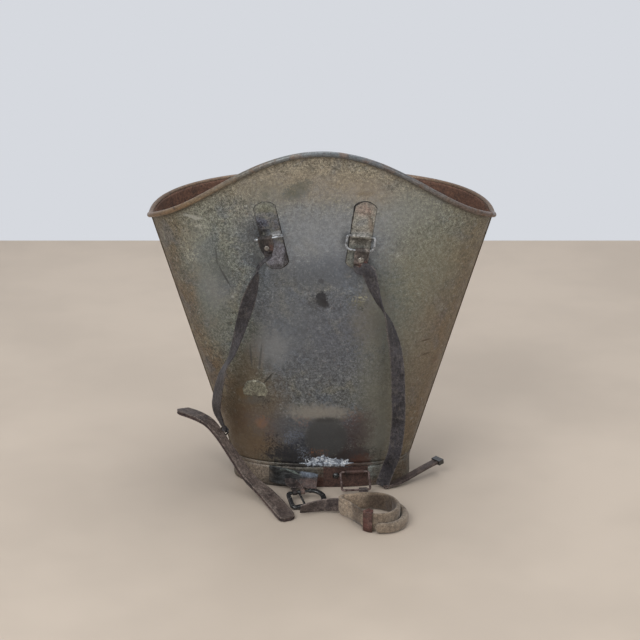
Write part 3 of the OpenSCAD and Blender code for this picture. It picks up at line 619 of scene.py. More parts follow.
def stitch_group():
    """Two rows of stitches along a strap, at equal distances from its middle"""
    if "Stitches" in bpy.data.node_groups:
        return bpy.data.node_groups["Stitches"]
    tree, web, inside, outside = new_group(
        "Stitches",
        [("Across", 'NodeSocketFloat', 0.0), ("Along", 'NodeSocketFloat', 0.0),
         ("Row", 'NodeSocketFloat', 0.01), ("Pitch", 'NodeSocketFloat', 0.006),
         ("Thread", 'NodeSocketFloat', 0.0006)],
        [("Mask", 'NodeSocketFloat')])
    off = web.math('ABSOLUTE', web.math('SUBTRACT', web.math('ABSOLUTE', inside["Across"]), inside["Row"]))
    line = web.span(off, inside["Thread"], web.math('MULTIPLY', inside["Thread"], 0.5))
    step = web.math('FRACT', web.math('DIVIDE', inside["Along"], inside["Pitch"]))
    dash = web.span(web.math('ABSOLUTE', web.math('SUBTRACT', step, 0.5)), 0.36, 0.28)
    web.feed(web.math('MULTIPLY', line, dash), outside["Mask"])
    return tree


# Finishes
def new_finish(name, roughness, metallic=0.0):
    material = bpy.data.materials.new(name)
    material.use_nodes = True
    shader = material.node_tree.nodes["Principled BSDF"]
    shader.location = (300, 0)
    material.node_tree.nodes["Material Output"].location = (620, 0)
    shader.inputs["Roughness"].default_value = roughness
    shader.inputs["Metallic"].default_value = metallic
    return material, Web(material.node_tree), shader


def object_place(web):
    return web.node("ShaderNodeTexCoord").outputs["Object"]


def surface_place(web):
    return web.node("ShaderNodeSeparateXYZ", {0: web.node("ShaderNodeUVMap", uv_map="Surface").outputs[0]}).outputs


def dapple(web, place, colour, fine=0.35, coarse=0.45):
    """Speckles and mottles a colour as old zinc and dirty leather are"""
    tiny = web.span(web.noise(place, 640.0, 2.0, 0.75), 0.32, 0.68, 0.08, 0.92)
    small = web.span(web.noise(place, 210.0, 4.0, 0.75), 0.32, 0.68, 0.12, 0.88)
    colour = web.mix(fine, colour, tiny, 'OVERLAY')
    return web.mix(coarse, colour, small, 'OVERLAY')


# Marks on the wearer's side: across and up in mm, half width, half height, turn in degrees,
# raggedness, softness, colour and strength
WEARER_MARKS = [
    (-20, 560, 110, 26, 0, 0.35, 0.6, (146, 134, 116), 0.45),
    (-85, 548, 34, 22, 0, 0.5, 0.7, (110, 111, 104), 0.45),
    (82, 545, 40, 22, -20, 0.5, 0.6, (146, 134, 118), 0.45),
    (140, 515, 60, 34, 20, 0.5, 0.8, (134, 137, 132), 0.45),
    (-38, 556, 22, 13, 30, 0.7, 0.4, (80, 82, 70), 0.6),
    (-50, 545, 14, 10, 10, 0.8, 0.4, (84, 86, 76), 0.5),
    (-92, 545, 5, 5, 0, 0.7, 0.5, (86, 88, 78), 0.5),
    (70, 548, 14, 4, 0, 0.8, 0.5, (108, 92, 66), 0.5),
    (8, 470, 105, 66, 0, 0.5, 0.7, (134, 138, 144), 0.6),
    (20, 415, 60, 26, 0, 0.6, 0.7, (78, 84, 94), 0.45),
    (-30, 396, 50, 22, 0, 0.6, 0.7, (80, 82, 84), 0.4),
    (0, 300, 90, 70, 0, 0.5, 0.8, (90, 93, 100), 0.45),
    (-60, 330, 40, 60, 20, 0.5, 0.8, (106, 110, 112), 0.35),
    (-90, 268, 28, 36, 0, 0.6, 0.7, (122, 124, 124), 0.5),
    (88, 325, 30, 50, 0, 0.6, 0.8, (122, 112, 102), 0.5),
    (112, 330, 46, 90, 0, 0.5, 0.8, (112, 116, 106), 0.45),
    (168, 240, 44, 170, -14, 0.4, 0.9, (124, 108, 88), 0.42),
    (-140, 84, 34, 50, 0, 0.5, 0.8, (104, 90, 74), 0.5),
    (98, 92, 20, 44, 0, 0.5, 0.7, (112, 112, 108), 0.5),
    (-88, 268, 30, 26, 0, 0.6, 0.7, (124, 126, 128), 0.45),
    (96, 160, 34, 90, 5, 0.5, 0.7, (112, 112, 102), 0.6),
    (-195, 380, 26, 90, 8, 0.5, 0.8, (124, 128, 124), 0.5),
    (-172, 372, 26, 30, 0, 0.5, 0.8, (118, 120, 124), 0.45),
    (180, 420, 60, 60, -10, 0.6, 0.8, (126, 120, 100), 0.4),
    (-112, 120, 44, 78, -12, 0.45, 0.6, (96, 80, 62), 0.7),
    (-132, 210, 22, 60, -14, 0.5, 0.7, (100, 84, 64), 0.5),
    (-138, 128, 16, 34, -14, 0.6, 0.7, (84, 62, 46), 0.4),
    (-104, 120, 11, 9, 0, 0.8, 0.5, (138, 96, 64), 0.6),
    (-100, 132, 16, 5, -20, 0.9, 0.4, (132, 92, 62), 0.6),
    (-90, 104, 10, 16, 0, 0.9, 0.4, (96, 64, 50), 0.6),
    (-96, 78, 26, 24, 0, 0.5, 0.6, (106, 84, 62), 0.4),
    (-34, 118, 70, 34, 0, 0.7, 0.6, (78, 82, 90), 0.55),
    (-66, 66, 26, 20, 20, 0.95, 0.3, (34, 34, 38), 0.95),
    (-58, 62, 40, 16, 0, 0.8, 0.4, (42, 42, 46), 0.85),
    (-84, 82, 16, 20, 0, 0.95, 0.3, (40, 38, 38), 0.85),
    (-38, 78, 22, 26, 0, 0.95, 0.4, (40, 42, 52), 0.85),
    (0, 56, 56, 14, 0, 0.7, 0.4, (44, 42, 42), 0.85),
    (52, 60, 40, 18, 0, 0.8, 0.4, (48, 42, 42), 0.8),
    (54, 92, 10, 30, -14, 0.9, 0.4, (36, 32, 34), 0.85),
    (62, 108, 26, 40, -18, 0.7, 0.5, (72, 60, 58), 0.65),
    (50, 134, 20, 14, 30, 0.95, 0.5, (104, 76, 70), 0.6),
    (-4, 146, 50, 15, 0, 0.7, 0.6, (140, 134, 124), 0.7),
    (-34, 128, 14, 12, 0, 0.95, 0.4, (120, 96, 88), 0.5),
    (8, 98, 36, 39, 0, 0.1, 0.16, (66, 66, 66), 0.9),
    (8, 132, 30, 4, 0, 0.5, 0.6, (46, 45, 45), 0.45),
    (-52, 98, 18, 12, 30, 0.95, 0.3, (112, 118, 130), 0.6),
    (-30, 62, 10, 16, 30, 1.0, 0.3, (128, 134, 146), 0.6),
    (-6, 66, 14, 8, 0, 1.0, 0.3, (122, 84, 60), 0.7),
    (70, 52, 18, 10, 0, 0.7, 0.5, (84, 56, 46), 0.7),
    (0, 361, 10, 13, 0, 0.45, 0.2, (42, 42, 46), 0.92),
    (5, 353, 6, 9, 40, 0.3, 0.3, (40, 40, 44), 0.85),
    (-1, 394, 5, 4, 0, 0.5, 0.4, (60, 60, 64), 0.6),
    (-12, 352, 16, 8, -20, 0.7, 0.6, (62, 62, 64), 0.5),
    (62, 358, 14, 9, 8, 1.0, 0.3, (176, 172, 146), 0.8),
    (62, 350, 15, 8, -30, 1.0, 0.3, (52, 52, 44), 0.7),
    (-214, 498, 16, 3, -6, 0.8, 0.4, (172, 172, 164), 0.6),
    (-201, 484, 12, 5, -12, 1.0, 0.4, (172, 172, 162), 0.75),
    (-222, 428, 12, 12, 0, 1.0, 0.3, (172, 172, 158), 0.75),
    (-226, 450, 14, 20, 0, 1.0, 0.3, (160, 158, 142), 0.5),
    (-176, 430, 1.6, 16, 4, 0.25, 0.4, (52, 52, 52), 0.7),
    (-164, 398, 1.6, 22, 28, 0.25, 0.4, (48, 48, 48), 0.85),
    (-172, 414, 14, 30, 10, 0.7, 0.7, (84, 88, 88), 0.5),
    (-121, 252, 1.6, 20, 4, 0.4, 0.5, (66, 68, 70), 0.6),
    (-105, 248, 1.6, 24, -6, 0.4, 0.5, (66, 68, 70), 0.6),
    (-92, 236, 6, 14, -20, 0.7, 0.6, (74, 74, 74), 0.4),
    # Darker just under the pushed-out bump: painted shade
    (-116, 172, 24, 14, 10, 0.6, 0.5, (82, 82, 80), 0.6),
    (-98, 166, 12, 14, -20, 0.95, 0.4, (52, 48, 44), 0.8),
    (-136, 176, 12, 12, 20, 0.8, 0.5, (104, 84, 58), 0.6),
    (-92, 210, 13, 1.6, 52, 0.15, 0.4, (44, 42, 40), 0.85),
    (179, 273, 10, 1.6, 6, 0.4, 0.5, (76, 62, 48), 0.8),
    (180, 246, 7, 1.6, 12, 0.4, 0.5, (76, 62, 48), 0.8),
    (196, 226, 6, 3, 30, 0.5, 0.5, (90, 70, 54), 0.6),
    (217, 150, 3, 30, -30, 0.5, 0.6, (124, 120, 104), 0.5),
    # Four dark marks left of the left chape: painted shadow of the left strap and its loop
    (-106, 428, 12, 24, 8, 0.7, 0.6, (58, 60, 62), 0.6),
    (-109, 478, 11, 24, 0, 0.95, 0.3, (42, 40, 40), 0.85),
    (-113, 472, 20, 32, 0, 0.8, 0.7, (72, 74, 76), 0.55),
    (-100, 470, 10, 14, 0, 0.7, 0.6, (64, 66, 68), 0.5),
    (40, 470, 8, 18, 0, 0.7, 0.6, (70, 72, 74), 0.5),
    (44, 430, 10, 16, 0, 0.7, 0.6, (74, 76, 80), 0.4),
    (-150, 360, 3, 3, 0, 0.5, 0.5, (184, 184, 180), 0.4),
    (128, 438, 5, 4, 0, 1.0, 0.5, (176, 178, 172), 0.7),
]
FOOT_MARKS = [
    (28, 10, 66, 12, 0, 0.5, 0.5, (86, 54, 46), 0.85),
    (-60, 8, 46, 10, 0, 0.6, 0.5, (48, 44, 44), 0.75),
    (-120, 24, 34, 22, 0, 0.5, 0.6, (132, 120, 108), 0.85),
    (88, 28, 24, 16, 0, 0.5, 0.5, (128, 134, 130), 0.85),
    (120, 22, 30, 22, 0, 0.5, 0.6, (98, 82, 66), 0.6),
    (-36, 42, 40, 5, 0, 0.7, 0.4, (40, 38, 38), 0.8),
    (58, 42, 34, 5, 0, 0.7, 0.4, (70, 50, 44), 0.8),
]


CHAPE_MARKS = [
    (-98, 498, 15, 9, -8, 0.6, 0.5, (82, 86, 102), 0.8),
    (-104, 474, 12, 22, 0, 0.8, 0.4, (44, 41, 40), 0.85),
    (-92, 522, 16, 14, 0, 0.5, 0.6, (124, 126, 110), 0.6),
    (-92, 512, 15, 4, 0, 0.7, 0.6, (92, 94, 104), 0.5),
    (-74, 438, 17, 27, -11, 0.3, 0.3, (122, 122, 132), 0.85),
    # Dark along the left plate's right and lower edges: dirt and painted shadow
    (-60, 437, 4.5, 12, -11, 0.5, 0.5, (48, 46, 50), 0.85),
    (-76, 421, 14, 4, 8, 0.7, 0.5, (60, 58, 58), 0.7),
    # Light along the top of the left barrel: painted highlight
    (-73, 481, 12, 3, 10, 0.5, 0.4, (160, 160, 162), 0.6),
    (70, 520, 15, 12, 0, 0.6, 0.5, (148, 128, 118), 0.5),
    (64, 500, 13, 10, 10, 0.7, 0.5, (148, 148, 142), 0.6),
    (65, 498, 9, 5, 20, 0.8, 0.5, (112, 114, 118), 0.5),
    (80, 494, 4, 16, 0, 0.7, 0.5, (112, 100, 88), 0.6),
    # Pale over the top of the right barrel: its pale colour and painted highlight
    (64, 479, 17, 4, 0, 0.3, 0.4, (166, 164, 160), 0.6),
    # Dark under the right barrel: painted shade
    (64, 466, 17, 7.5, 0, 0.6, 0.4, (60, 58, 54), 0.8),
    (54, 438, 18, 20, 0, 0.4, 0.4, (102, 106, 100), 0.85),
    (50, 432, 4, 14, 0, 0.5, 0.6, (126, 130, 128), 0.5),
    (50, 487, 6, 8, 30, 0.9, 0.4, (34, 30, 30), 0.85),
]
LOOP_MARKS = [
    (-83, 458, 5, 12, 0, 0.6, 0.5, (92, 58, 50), 0.7),
    (-98, 452, 8, 18, 0, 0.7, 0.5, (28, 27, 28), 0.85),
    # Dark round the left rivet head: painted shadow
    (-90, 459, 7, 7, 0, 0.3, 0.5, (34, 30, 30), 0.8),
    (72, 428, 12, 7, 0, 0.6, 0.5, (88, 56, 52), 0.85),
    (68, 461, 13, 3, 0, 0.5, 0.5, (122, 92, 90), 0.7),
    (76, 453, 7, 5, 0, 0.5, 0.5, (142, 134, 126), 0.8),
    # Dark round the right rivet head: painted shadow
    (68, 443, 11, 11, 0, 0.5, 0.5, (48, 44, 42), 0.85),
]
TAB_MARKS = [
    # Pale blue-grey patch: painted sheen on the glossy tab
    (-20, 32, 18, 8, -6, 0.5, 0.3, (98, 106, 118), 0.9),
    (-22, 14, 20, 9, 4, 0.5, 0.4, (84, 64, 58), 0.9),
    # Thin light lines along the tab's upper edge: painted highlight
    (-52, 34, 14, 2, -20, 0.6, 0.4, (104, 112, 106), 0.7),
    (-66, 38, 9, 3, 30, 0.8, 0.4, (92, 98, 92), 0.5),
    (-92, 24, 6, 14, 0, 0.8, 0.5, (76, 70, 64), 0.7),
]
BILLET_MARKS = [(-58, 16, 20, 26, 0, 0.5, 0.5, (26, 25, 27), 0.92)]


def wall_ramps(web, height, side):
    """Base colour of the wall by height, darker low down from dirt and painted shade, for its middle, its flanks and
    its brown sides, whose brown is painted reflection of the floor
    """
    # Middle, darker low down: partly dirt, partly painted shade of light falling from above
    middle = web.ramp(height, [
        (0.075, paint(62, 60, 58)), (0.16, paint(72, 72, 74)), (0.28, paint(92, 94, 94)),
        (0.50, paint(93, 96, 102)), (0.68, paint(98, 102, 106)), (0.78, paint(112, 116, 118)),
        (0.88, paint(122, 121, 113)), (0.96, paint(133, 126, 111))])
    flank = web.ramp(height, [
        (0.075, paint(86, 80, 68)), (0.25, paint(92, 88, 76)), (0.45, paint(96, 98, 90)),
        (0.65, paint(104, 108, 100)), (0.82, paint(118, 120, 110)), (0.95, paint(126, 120, 104))])
    # Sides: brown as painted reflection of the floor on the curved sheet
    far = web.ramp(height, [
        (0.075, paint(96, 82, 64)), (0.25, paint(94, 78, 60)), (0.45, paint(98, 84, 66)),
        (0.65, paint(104, 90, 72)), (0.85, paint(112, 104, 86)), (0.95, paint(114, 106, 88))])
    blend = web.mix(web.span(side, 0.28, 0.62), middle, flank)
    return web.mix(web.span(side, 0.66, 0.97), blend, far)


def marked(web, place, colour, marks):
    """Puts a table of single marks on a colour"""
    for x, z, wide, high, turn, ragged, soft, tint, strength in marks:
        mask = web.group(spot_group(), {
            "Place": place, "Across": x * MM, "Up": z * MM, "Half Width": wide * MM,
            "Half Height": high * MM, "Turn": math.radians(turn), "Ragged": ragged, "Soft": soft,
            "Broken": 1.0 if ragged >= 0.9 else 0.0})
        colour = web.mix(web.math('MULTIPLY', mask["Mask"], strength), colour, paint(*tint))
    return colour


def wall_finish(name, marks):
    """Dull galvanising, brown towards its sides as painted reflection of the floor, and darker low down from dirt and
    painted shade
    """
    material, web, shader = new_finish(name, 0.5, 0.25)
    place = object_place(web)
    surface = surface_place(web)
    height = web.math('DIVIDE', web.node("ShaderNodeSeparateXYZ", {0: place}).outputs["Z"], 0.6)
    cloud = web.math('SUBTRACT', web.noise(place, 13.0, 4.0, 0.6, 0.6), 0.5)
    height = web.math('ADD', height, web.math('MULTIPLY', cloud, 0.16))
    side = web.math('ADD', web.math('ABSOLUTE', surface["X"]), web.math('MULTIPLY', cloud, 0.5))
    colour = wall_ramps(web, height, side)
    blots = blotches_group()
    for size, low, high, shift, tint, strength in (
            (0.055, 0.50, 0.66, 3.0, (84, 94, 108), 0.35),
            (0.040, 0.52, 0.68, 7.0, (126, 122, 104), 0.35),
            (0.016, 0.54, 0.68, 11.0, (70, 70, 68), 0.35),
            (0.009, 0.58, 0.68, 17.0, (150, 152, 150), 0.35),
            (0.004, 0.62, 0.70, 29.0, (156, 157, 154), 0.25),
            (0.004, 0.60, 0.68, 37.0, (56, 54, 52), 0.4),
            (0.006, 0.60, 0.70, 23.0, (100, 78, 62), 0.45)):
        mask = web.group(blots, {"Place": place, "Size": size, "Low": low, "High": high, "Shift": shift})
        colour = web.mix(web.math('MULTIPLY', mask["Mask"], strength), colour, paint(*tint))
    drips = web.noise(web.stretch(place, (1.0, 1.0, 0.06)), 150.0, 3.0, 0.6)
    colour = web.mix(web.span(drips, 0.55, 0.75, 0.0, 0.28), colour, paint(86, 80, 70))
    colour = dapple(web, place, colour, 0.6, 0.7)
    rough = web.span(web.noise(place, 60.0, 4.0, 0.6), 0.35, 0.7, 0.42, 0.62)
    colour = marked(web, place, colour, marks)
    # Darker in a band just below the rim
    below_rim_darkening = web.math('ADD', surface["Y"], web.math('MULTIPLY', web.noise(place, 90.0), 0.012))
    colour = web.mix(web.span(below_rim_darkening, 0.020, 0.006, 0.0, 0.55), colour, paint(84, 76, 64))
    web.feed(colour, shader.inputs["Base Color"])
    web.feed(rough, shader.inputs["Roughness"])
    relief = web.math('ADD', web.noise(place, 520.0, 3.0, 0.65), web.noise(place, 90.0, 3.0, 0.6))
    web.feed(web.bump(relief, 0.0004, 0.45), shader.inputs["Normal"])
    return material


def rusty_finish(name, base, dark, pale, roughness=0.75, metallic=0.1):
    """Rusted iron with dark pits and pale remains of zinc"""
    material, web, shader = new_finish(name, roughness, metallic)
    place = object_place(web)
    cloud = web.noise(place, 34.0, 5.0, 0.65, 0.6)
    colour = web.ramp(cloud, [(0.3, dark), (0.5, base), (0.68, base), (0.8, pale)])
    colour = dapple(web, place, colour, 0.45, 0.5)
    pits = web.group(blotches_group(), {"Place": place, "Size": 0.007, "Low": 0.58, "High": 0.68, "Shift": 5.0})
    colour = web.mix(web.math('MULTIPLY', pits["Mask"], 0.6), colour, dark)
    web.feed(colour, shader.inputs["Base Color"])
    web.feed(web.bump(web.noise(place, 420.0, 4.0, 0.7), 0.0005, 0.6), shader.inputs["Normal"])
    return material


def rim_finish():
    """Rolled rim: brown lobes, a bluish grey crest, and rust along the far side"""
    material, web, shader = new_finish("Rim metal", 0.42, 0.45)
    place = object_place(web)
    parts = web.node("ShaderNodeSeparateXYZ", {0: place}).outputs
    across = web.math('ADD', web.math('MULTIPLY', parts["X"], 1.6), 0.5)
    across = web.math('ADD', across, web.math('MULTIPLY', web.math('SUBTRACT', web.noise(place, 28.0), 0.5), 0.2))
    near = web.ramp(across, [
        (0.02, paint(120, 98, 80)), (0.16, paint(132, 112, 88)), (0.30, paint(112, 108, 100)),
        (0.46, paint(108, 112, 114)), (0.62, paint(98, 102, 106)), (0.84, paint(104, 96, 90)),
        (0.98, paint(104, 86, 78))])
    far = web.mix(web.noise(place, 60.0, 4.0), paint(112, 98, 82), paint(92, 66, 52))
    colour = web.mix(web.span(parts["Y"], -0.02, 0.05), near, far)
    rust = web.group(blotches_group(), {"Place": place, "Size": 0.022, "Low": 0.5, "High": 0.66, "Shift": 2.0})
    colour = web.mix(web.math('MULTIPLY', rust["Mask"], 0.5), colour, paint(116, 86, 62))
    chips = web.group(blotches_group(), {"Place": place, "Size": 0.006, "Low": 0.58, "High": 0.66, "Shift": 9.0})
    colour = web.mix(web.math('MULTIPLY', chips["Mask"], 0.7), colour, paint(62, 54, 48))
    colour = dapple(web, place, colour, 0.3, 0.3)
    web.feed(colour, shader.inputs["Base Color"])
    web.feed(web.span(rust["Mask"], 0.0, 1.0, 0.36, 0.6), shader.inputs["Roughness"])
    web.feed(web.bump(web.noise(place, 300.0, 4.0, 0.65), 0.0005, 0.5), shader.inputs["Normal"])
    return material


def chape_finish(name, base, pale, warm, marks=()):
    """Dull zinc strip: pale and warm patches, dirt gathered in streaks, and its own marks"""
    material, web, shader = new_finish(name, 0.45, 0.35)
    place = object_place(web)
    colour = web.mix(web.span(web.noise(place, 55.0, 4.0, 0.6), 0.35, 0.65), base, pale)
    stains = web.group(blotches_group(), {"Place": place, "Size": 0.018, "Low": 0.5, "High": 0.66, "Shift": 4.0})
    colour = web.mix(web.math('MULTIPLY', stains["Mask"], 0.55), colour, warm)
    dark = web.group(blotches_group(), {"Place": place, "Size": 0.008, "Low": 0.56, "High": 0.66, "Shift": 8.0})
    colour = web.mix(web.math('MULTIPLY', dark["Mask"], 0.45), colour, paint(62, 62, 64))
    near = web.span(web.node("ShaderNodeSeparateXYZ", {0: place}).outputs["Y"], 0.0, -0.03)
    colour = web.mix(near, colour, marked(web, place, colour, marks))
    colour = dapple(web, place, colour, 0.45, 0.55)
    web.feed(colour, shader.inputs["Base Color"])
    web.feed(web.bump(web.noise(place, 420.0, 3.0, 0.65), 0.0004, 0.45), shader.inputs["Normal"])
    return material


def wire_finish(name, bright, dull, roughness=0.32, metallic=0.85):
    """Bare wire, rubbed bright in places and dull in others"""
    material, web, shader = new_finish(name, roughness, metallic)
    place = object_place(web)
    wear = web.span(web.noise(place, 120.0, 4.0, 0.65), 0.4, 0.6)
    web.feed(dapple(web, place, web.mix(wear, dull, bright), 0.3, 0.3), shader.inputs["Base Color"])
    web.feed(web.span(wear, 0.0, 1.0, roughness + 0.25, roughness), shader.inputs["Roughness"])
    web.feed(web.bump(web.noise(place, 700.0, 3.0), 0.0002, 0.5), shader.inputs["Normal"])
    return material


def enamel_finish():
    """Black japanned iron, glossy, with grey chips and dust"""
    material, web, shader = new_finish("Black enamel", 0.22, 0.0)
    shader.inputs["Coat Weight"].default_value = 0.4
    shader.inputs["Coat Roughness"].default_value = 0.12
    place = object_place(web)
    dust = web.group(blotches_group(), {"Place": place, "Size": 0.01, "Low": 0.5, "High": 0.7, "Shift": 1.0})
    colour = web.mix(web.math('MULTIPLY', dust["Mask"], 0.35), colours().enamel, paint(84, 82, 78))
    chips = web.group(blotches_group(), {"Place": place, "Size": 0.003, "Low": 0.62, "High": 0.66, "Shift": 6.0})
    colour = web.mix(web.math('MULTIPLY', chips["Mask"], 0.7), colour, paint(120, 118, 112))
    web.feed(colour, shader.inputs["Base Color"])
    web.feed(web.span(dust["Mask"], 0.0, 1.0, 0.2, 0.5), shader.inputs["Roughness"])
    web.feed(web.bump(web.noise(place, 260.0, 3.0), 0.0003, 0.4), shader.inputs["Normal"])
    return material


def leather_finish(name, base, dark, worn, half_width, roughness=0.55, stitched=0.0, marks=(), wear=1.0):
    """Old harness leather: grain, cross creases, rubbed edges, dust, and stitches where it has them"""
    material, web, shader = new_finish(name, roughness)
    shader.inputs["Specular IOR Level"].default_value = 0.35
    place = object_place(web)
    surface = surface_place(web)
    flat = web.node("ShaderNodeCombineXYZ", {0: surface["X"], 1: surface["Y"]}).outputs[0]
    cloud = web.noise(place, 26.0, 4.0, 0.6, 0.5)
    colour = web.mix(web.span(cloud, 0.32, 0.62), dark, base)
    colour = marked(web, place, colour, marks)
    dust = web.group(blotches_group(), {"Place": place, "Size": 0.014, "Low": 0.5, "High": 0.7, "Shift": 3.0})
    colour = web.mix(web.math('MULTIPLY', dust["Mask"], 0.45), colour, worn)
    creases = web.noise(web.stretch(flat, (0.25, 1.0, 1.0)), 520.0, 4.0, 0.7, 0.4)
    lines = web.noise(web.stretch(flat, (1.0, 0.06, 1.0)), 900.0, 3.0, 0.6)
    colour = web.mix(web.span(creases, 0.54, 0.66, 0.0, min(1.0, 0.5 * wear)), colour, dark)
    colour = web.mix(web.span(lines, 0.53, 0.68, 0.0, min(1.0, 0.4 * wear)), colour, worn)
    grain = web.group(grain_group(), {"Place": place, "Size": 0.0013})
    colour = web.mix(web.math('MULTIPLY', grain["Creases"], 0.35), colour, dark)
    edge = web.group(edge_group(), {
        "Place": place, "Across": surface["X"], "Half Width": half_width, "Depth": 0.0022})
    colour = web.mix(web.math('MULTIPLY', edge["Mask"], 0.65), colour, worn)
    colour = dapple(web, place, colour, 0.45, 0.55)
    height = web.math('ADD', web.math('MULTIPLY', grain["Height"], 0.5), web.math('MULTIPLY', creases, 0.8))
    height = web.math('ADD', height, web.math('MULTIPLY', lines, 0.8 * wear))
    if stitched:
        stitches = web.group(stitch_group(), {
            "Across": surface["X"], "Along": surface["Y"], "Row": stitched, "Pitch": 0.0068, "Thread": 0.0007})
        colour = web.mix(web.math('MULTIPLY', stitches["Mask"], 0.75), colour, worn)
        height = web.math('ADD', height, stitches["Mask"])
    web.feed(colour, shader.inputs["Base Color"])
    web.feed(web.span(dust["Mask"], 0.0, 1.0, roughness - 0.1, roughness + 0.15), shader.inputs["Roughness"])
    web.feed(web.bump(height, 0.0006 * wear, 0.6), shader.inputs["Normal"])
    return material


def felt_finish():
    """Pale felt and worn facing: fibres, grey dirt, darker towards the right, and darker still inside the ring of the
    band
    """
    material, web, shader = new_finish("Felt", 0.9)
    shader.inputs["Specular IOR Level"].default_value = 0.15
    shader.inputs["Sheen Weight"].default_value = 0.25
    place = object_place(web)
    colour = web.mix(web.span(web.noise(place, 30.0, 4.0, 0.6, 0.5), 0.35, 0.65), colours().felt, paint(134, 116, 98))
    dirt = web.group(blotches_group(), {"Place": place, "Size": 0.02, "Low": 0.5, "High": 0.7, "Shift": 5.0})
    colour = web.mix(web.math('MULTIPLY', dirt["Mask"], 0.45), colour, paint(98, 82, 70))
    fibres = web.noise(web.stretch(place, (1.0, 1.0, 3.0)), 900.0, 4.0, 0.75, 1.2)
    colour = web.mix(web.span(fibres, 0.4, 0.7, 0.0, 0.35), colour, paint(176, 164, 146))
    specks = web.group(blotches_group(), {"Place": place, "Size": 0.004, "Low": 0.62, "High": 0.7, "Shift": 2.0})
    colour = web.mix(web.math('MULTIPLY', specks["Mask"], 0.6), colour, paint(84, 68, 56))
    layers = web.noise(web.stretch(place, (0.12, 0.12, 1.0)), 420.0, 3.0, 0.6, 0.6)
    colour = web.mix(web.span(layers, 0.5, 0.68, 0.0, 0.55), colour, paint(92, 78, 66))
    parts = web.node("ShaderNodeSeparateXYZ", {0: place}).outputs
    # Darker towards the right, and darker still inside the ring of the band
    across = web.math('MULTIPLY', web.math('SUBTRACT', parts["X"], 0.088), 25.0)
    back = web.math('MULTIPLY', web.math('ADD', parts["Y"], 0.218), 23.8)
    reach = web.math('ADD', web.math('MULTIPLY', across, across), web.math('MULTIPLY', back, back))
    colour = web.mix(web.span(parts["X"], 0.055, 0.085, 0.0, 0.5), colour, paint(92, 81, 70))
    colour = web.mix(web.span(reach, 1.0, 0.80, 0.0, 0.8), colour, paint(66, 53, 44))
    colour = dapple(web, place, colour, 0.35, 0.45)
    web.feed(colour, shader.inputs["Base Color"])
    web.feed(web.bump(fibres, 0.0006, 0.5), shader.inputs["Normal"])
    return material


def crust_finish():
    """White and bluish mineral crust"""
    material, web, shader = new_finish("White crust", 0.85)
    place = object_place(web)
    colour = web.ramp(web.noise(place, 160.0, 4.0, 0.65), [
        (0.36, paint(70, 72, 78)), (0.46, paint(124, 130, 140)), (0.56, paint(164, 170, 178)),
        (0.68, paint(202, 204, 206))])
    web.feed(dapple(web, place, colour, 0.3, 0.3), shader.inputs["Base Color"])
    web.feed(web.bump(web.noise(place, 500.0, 4.0, 0.7), 0.0008, 0.7), shader.inputs["Normal"])
    return material


def edge_dirt_and_shadow_finish():
    """Dark dirt and solder along an edge, darkened further as painted shadow"""
    material, web, shader = new_finish("Edge dirt and shadow", 0.7, 0.1)
    place = object_place(web)
    colour = web.ramp(web.noise(place, 70.0, 4.0, 0.65), [
        (0.34, paint(22, 20, 20)), (0.52, paint(34, 30, 29)), (0.70, paint(72, 62, 54))])
    web.feed(dapple(web, place, colour, 0.3, 0.3), shader.inputs["Base Color"])
    web.feed(web.bump(web.noise(place, 800.0, 3.0), 0.0004, 0.5), shader.inputs["Normal"])
    return material


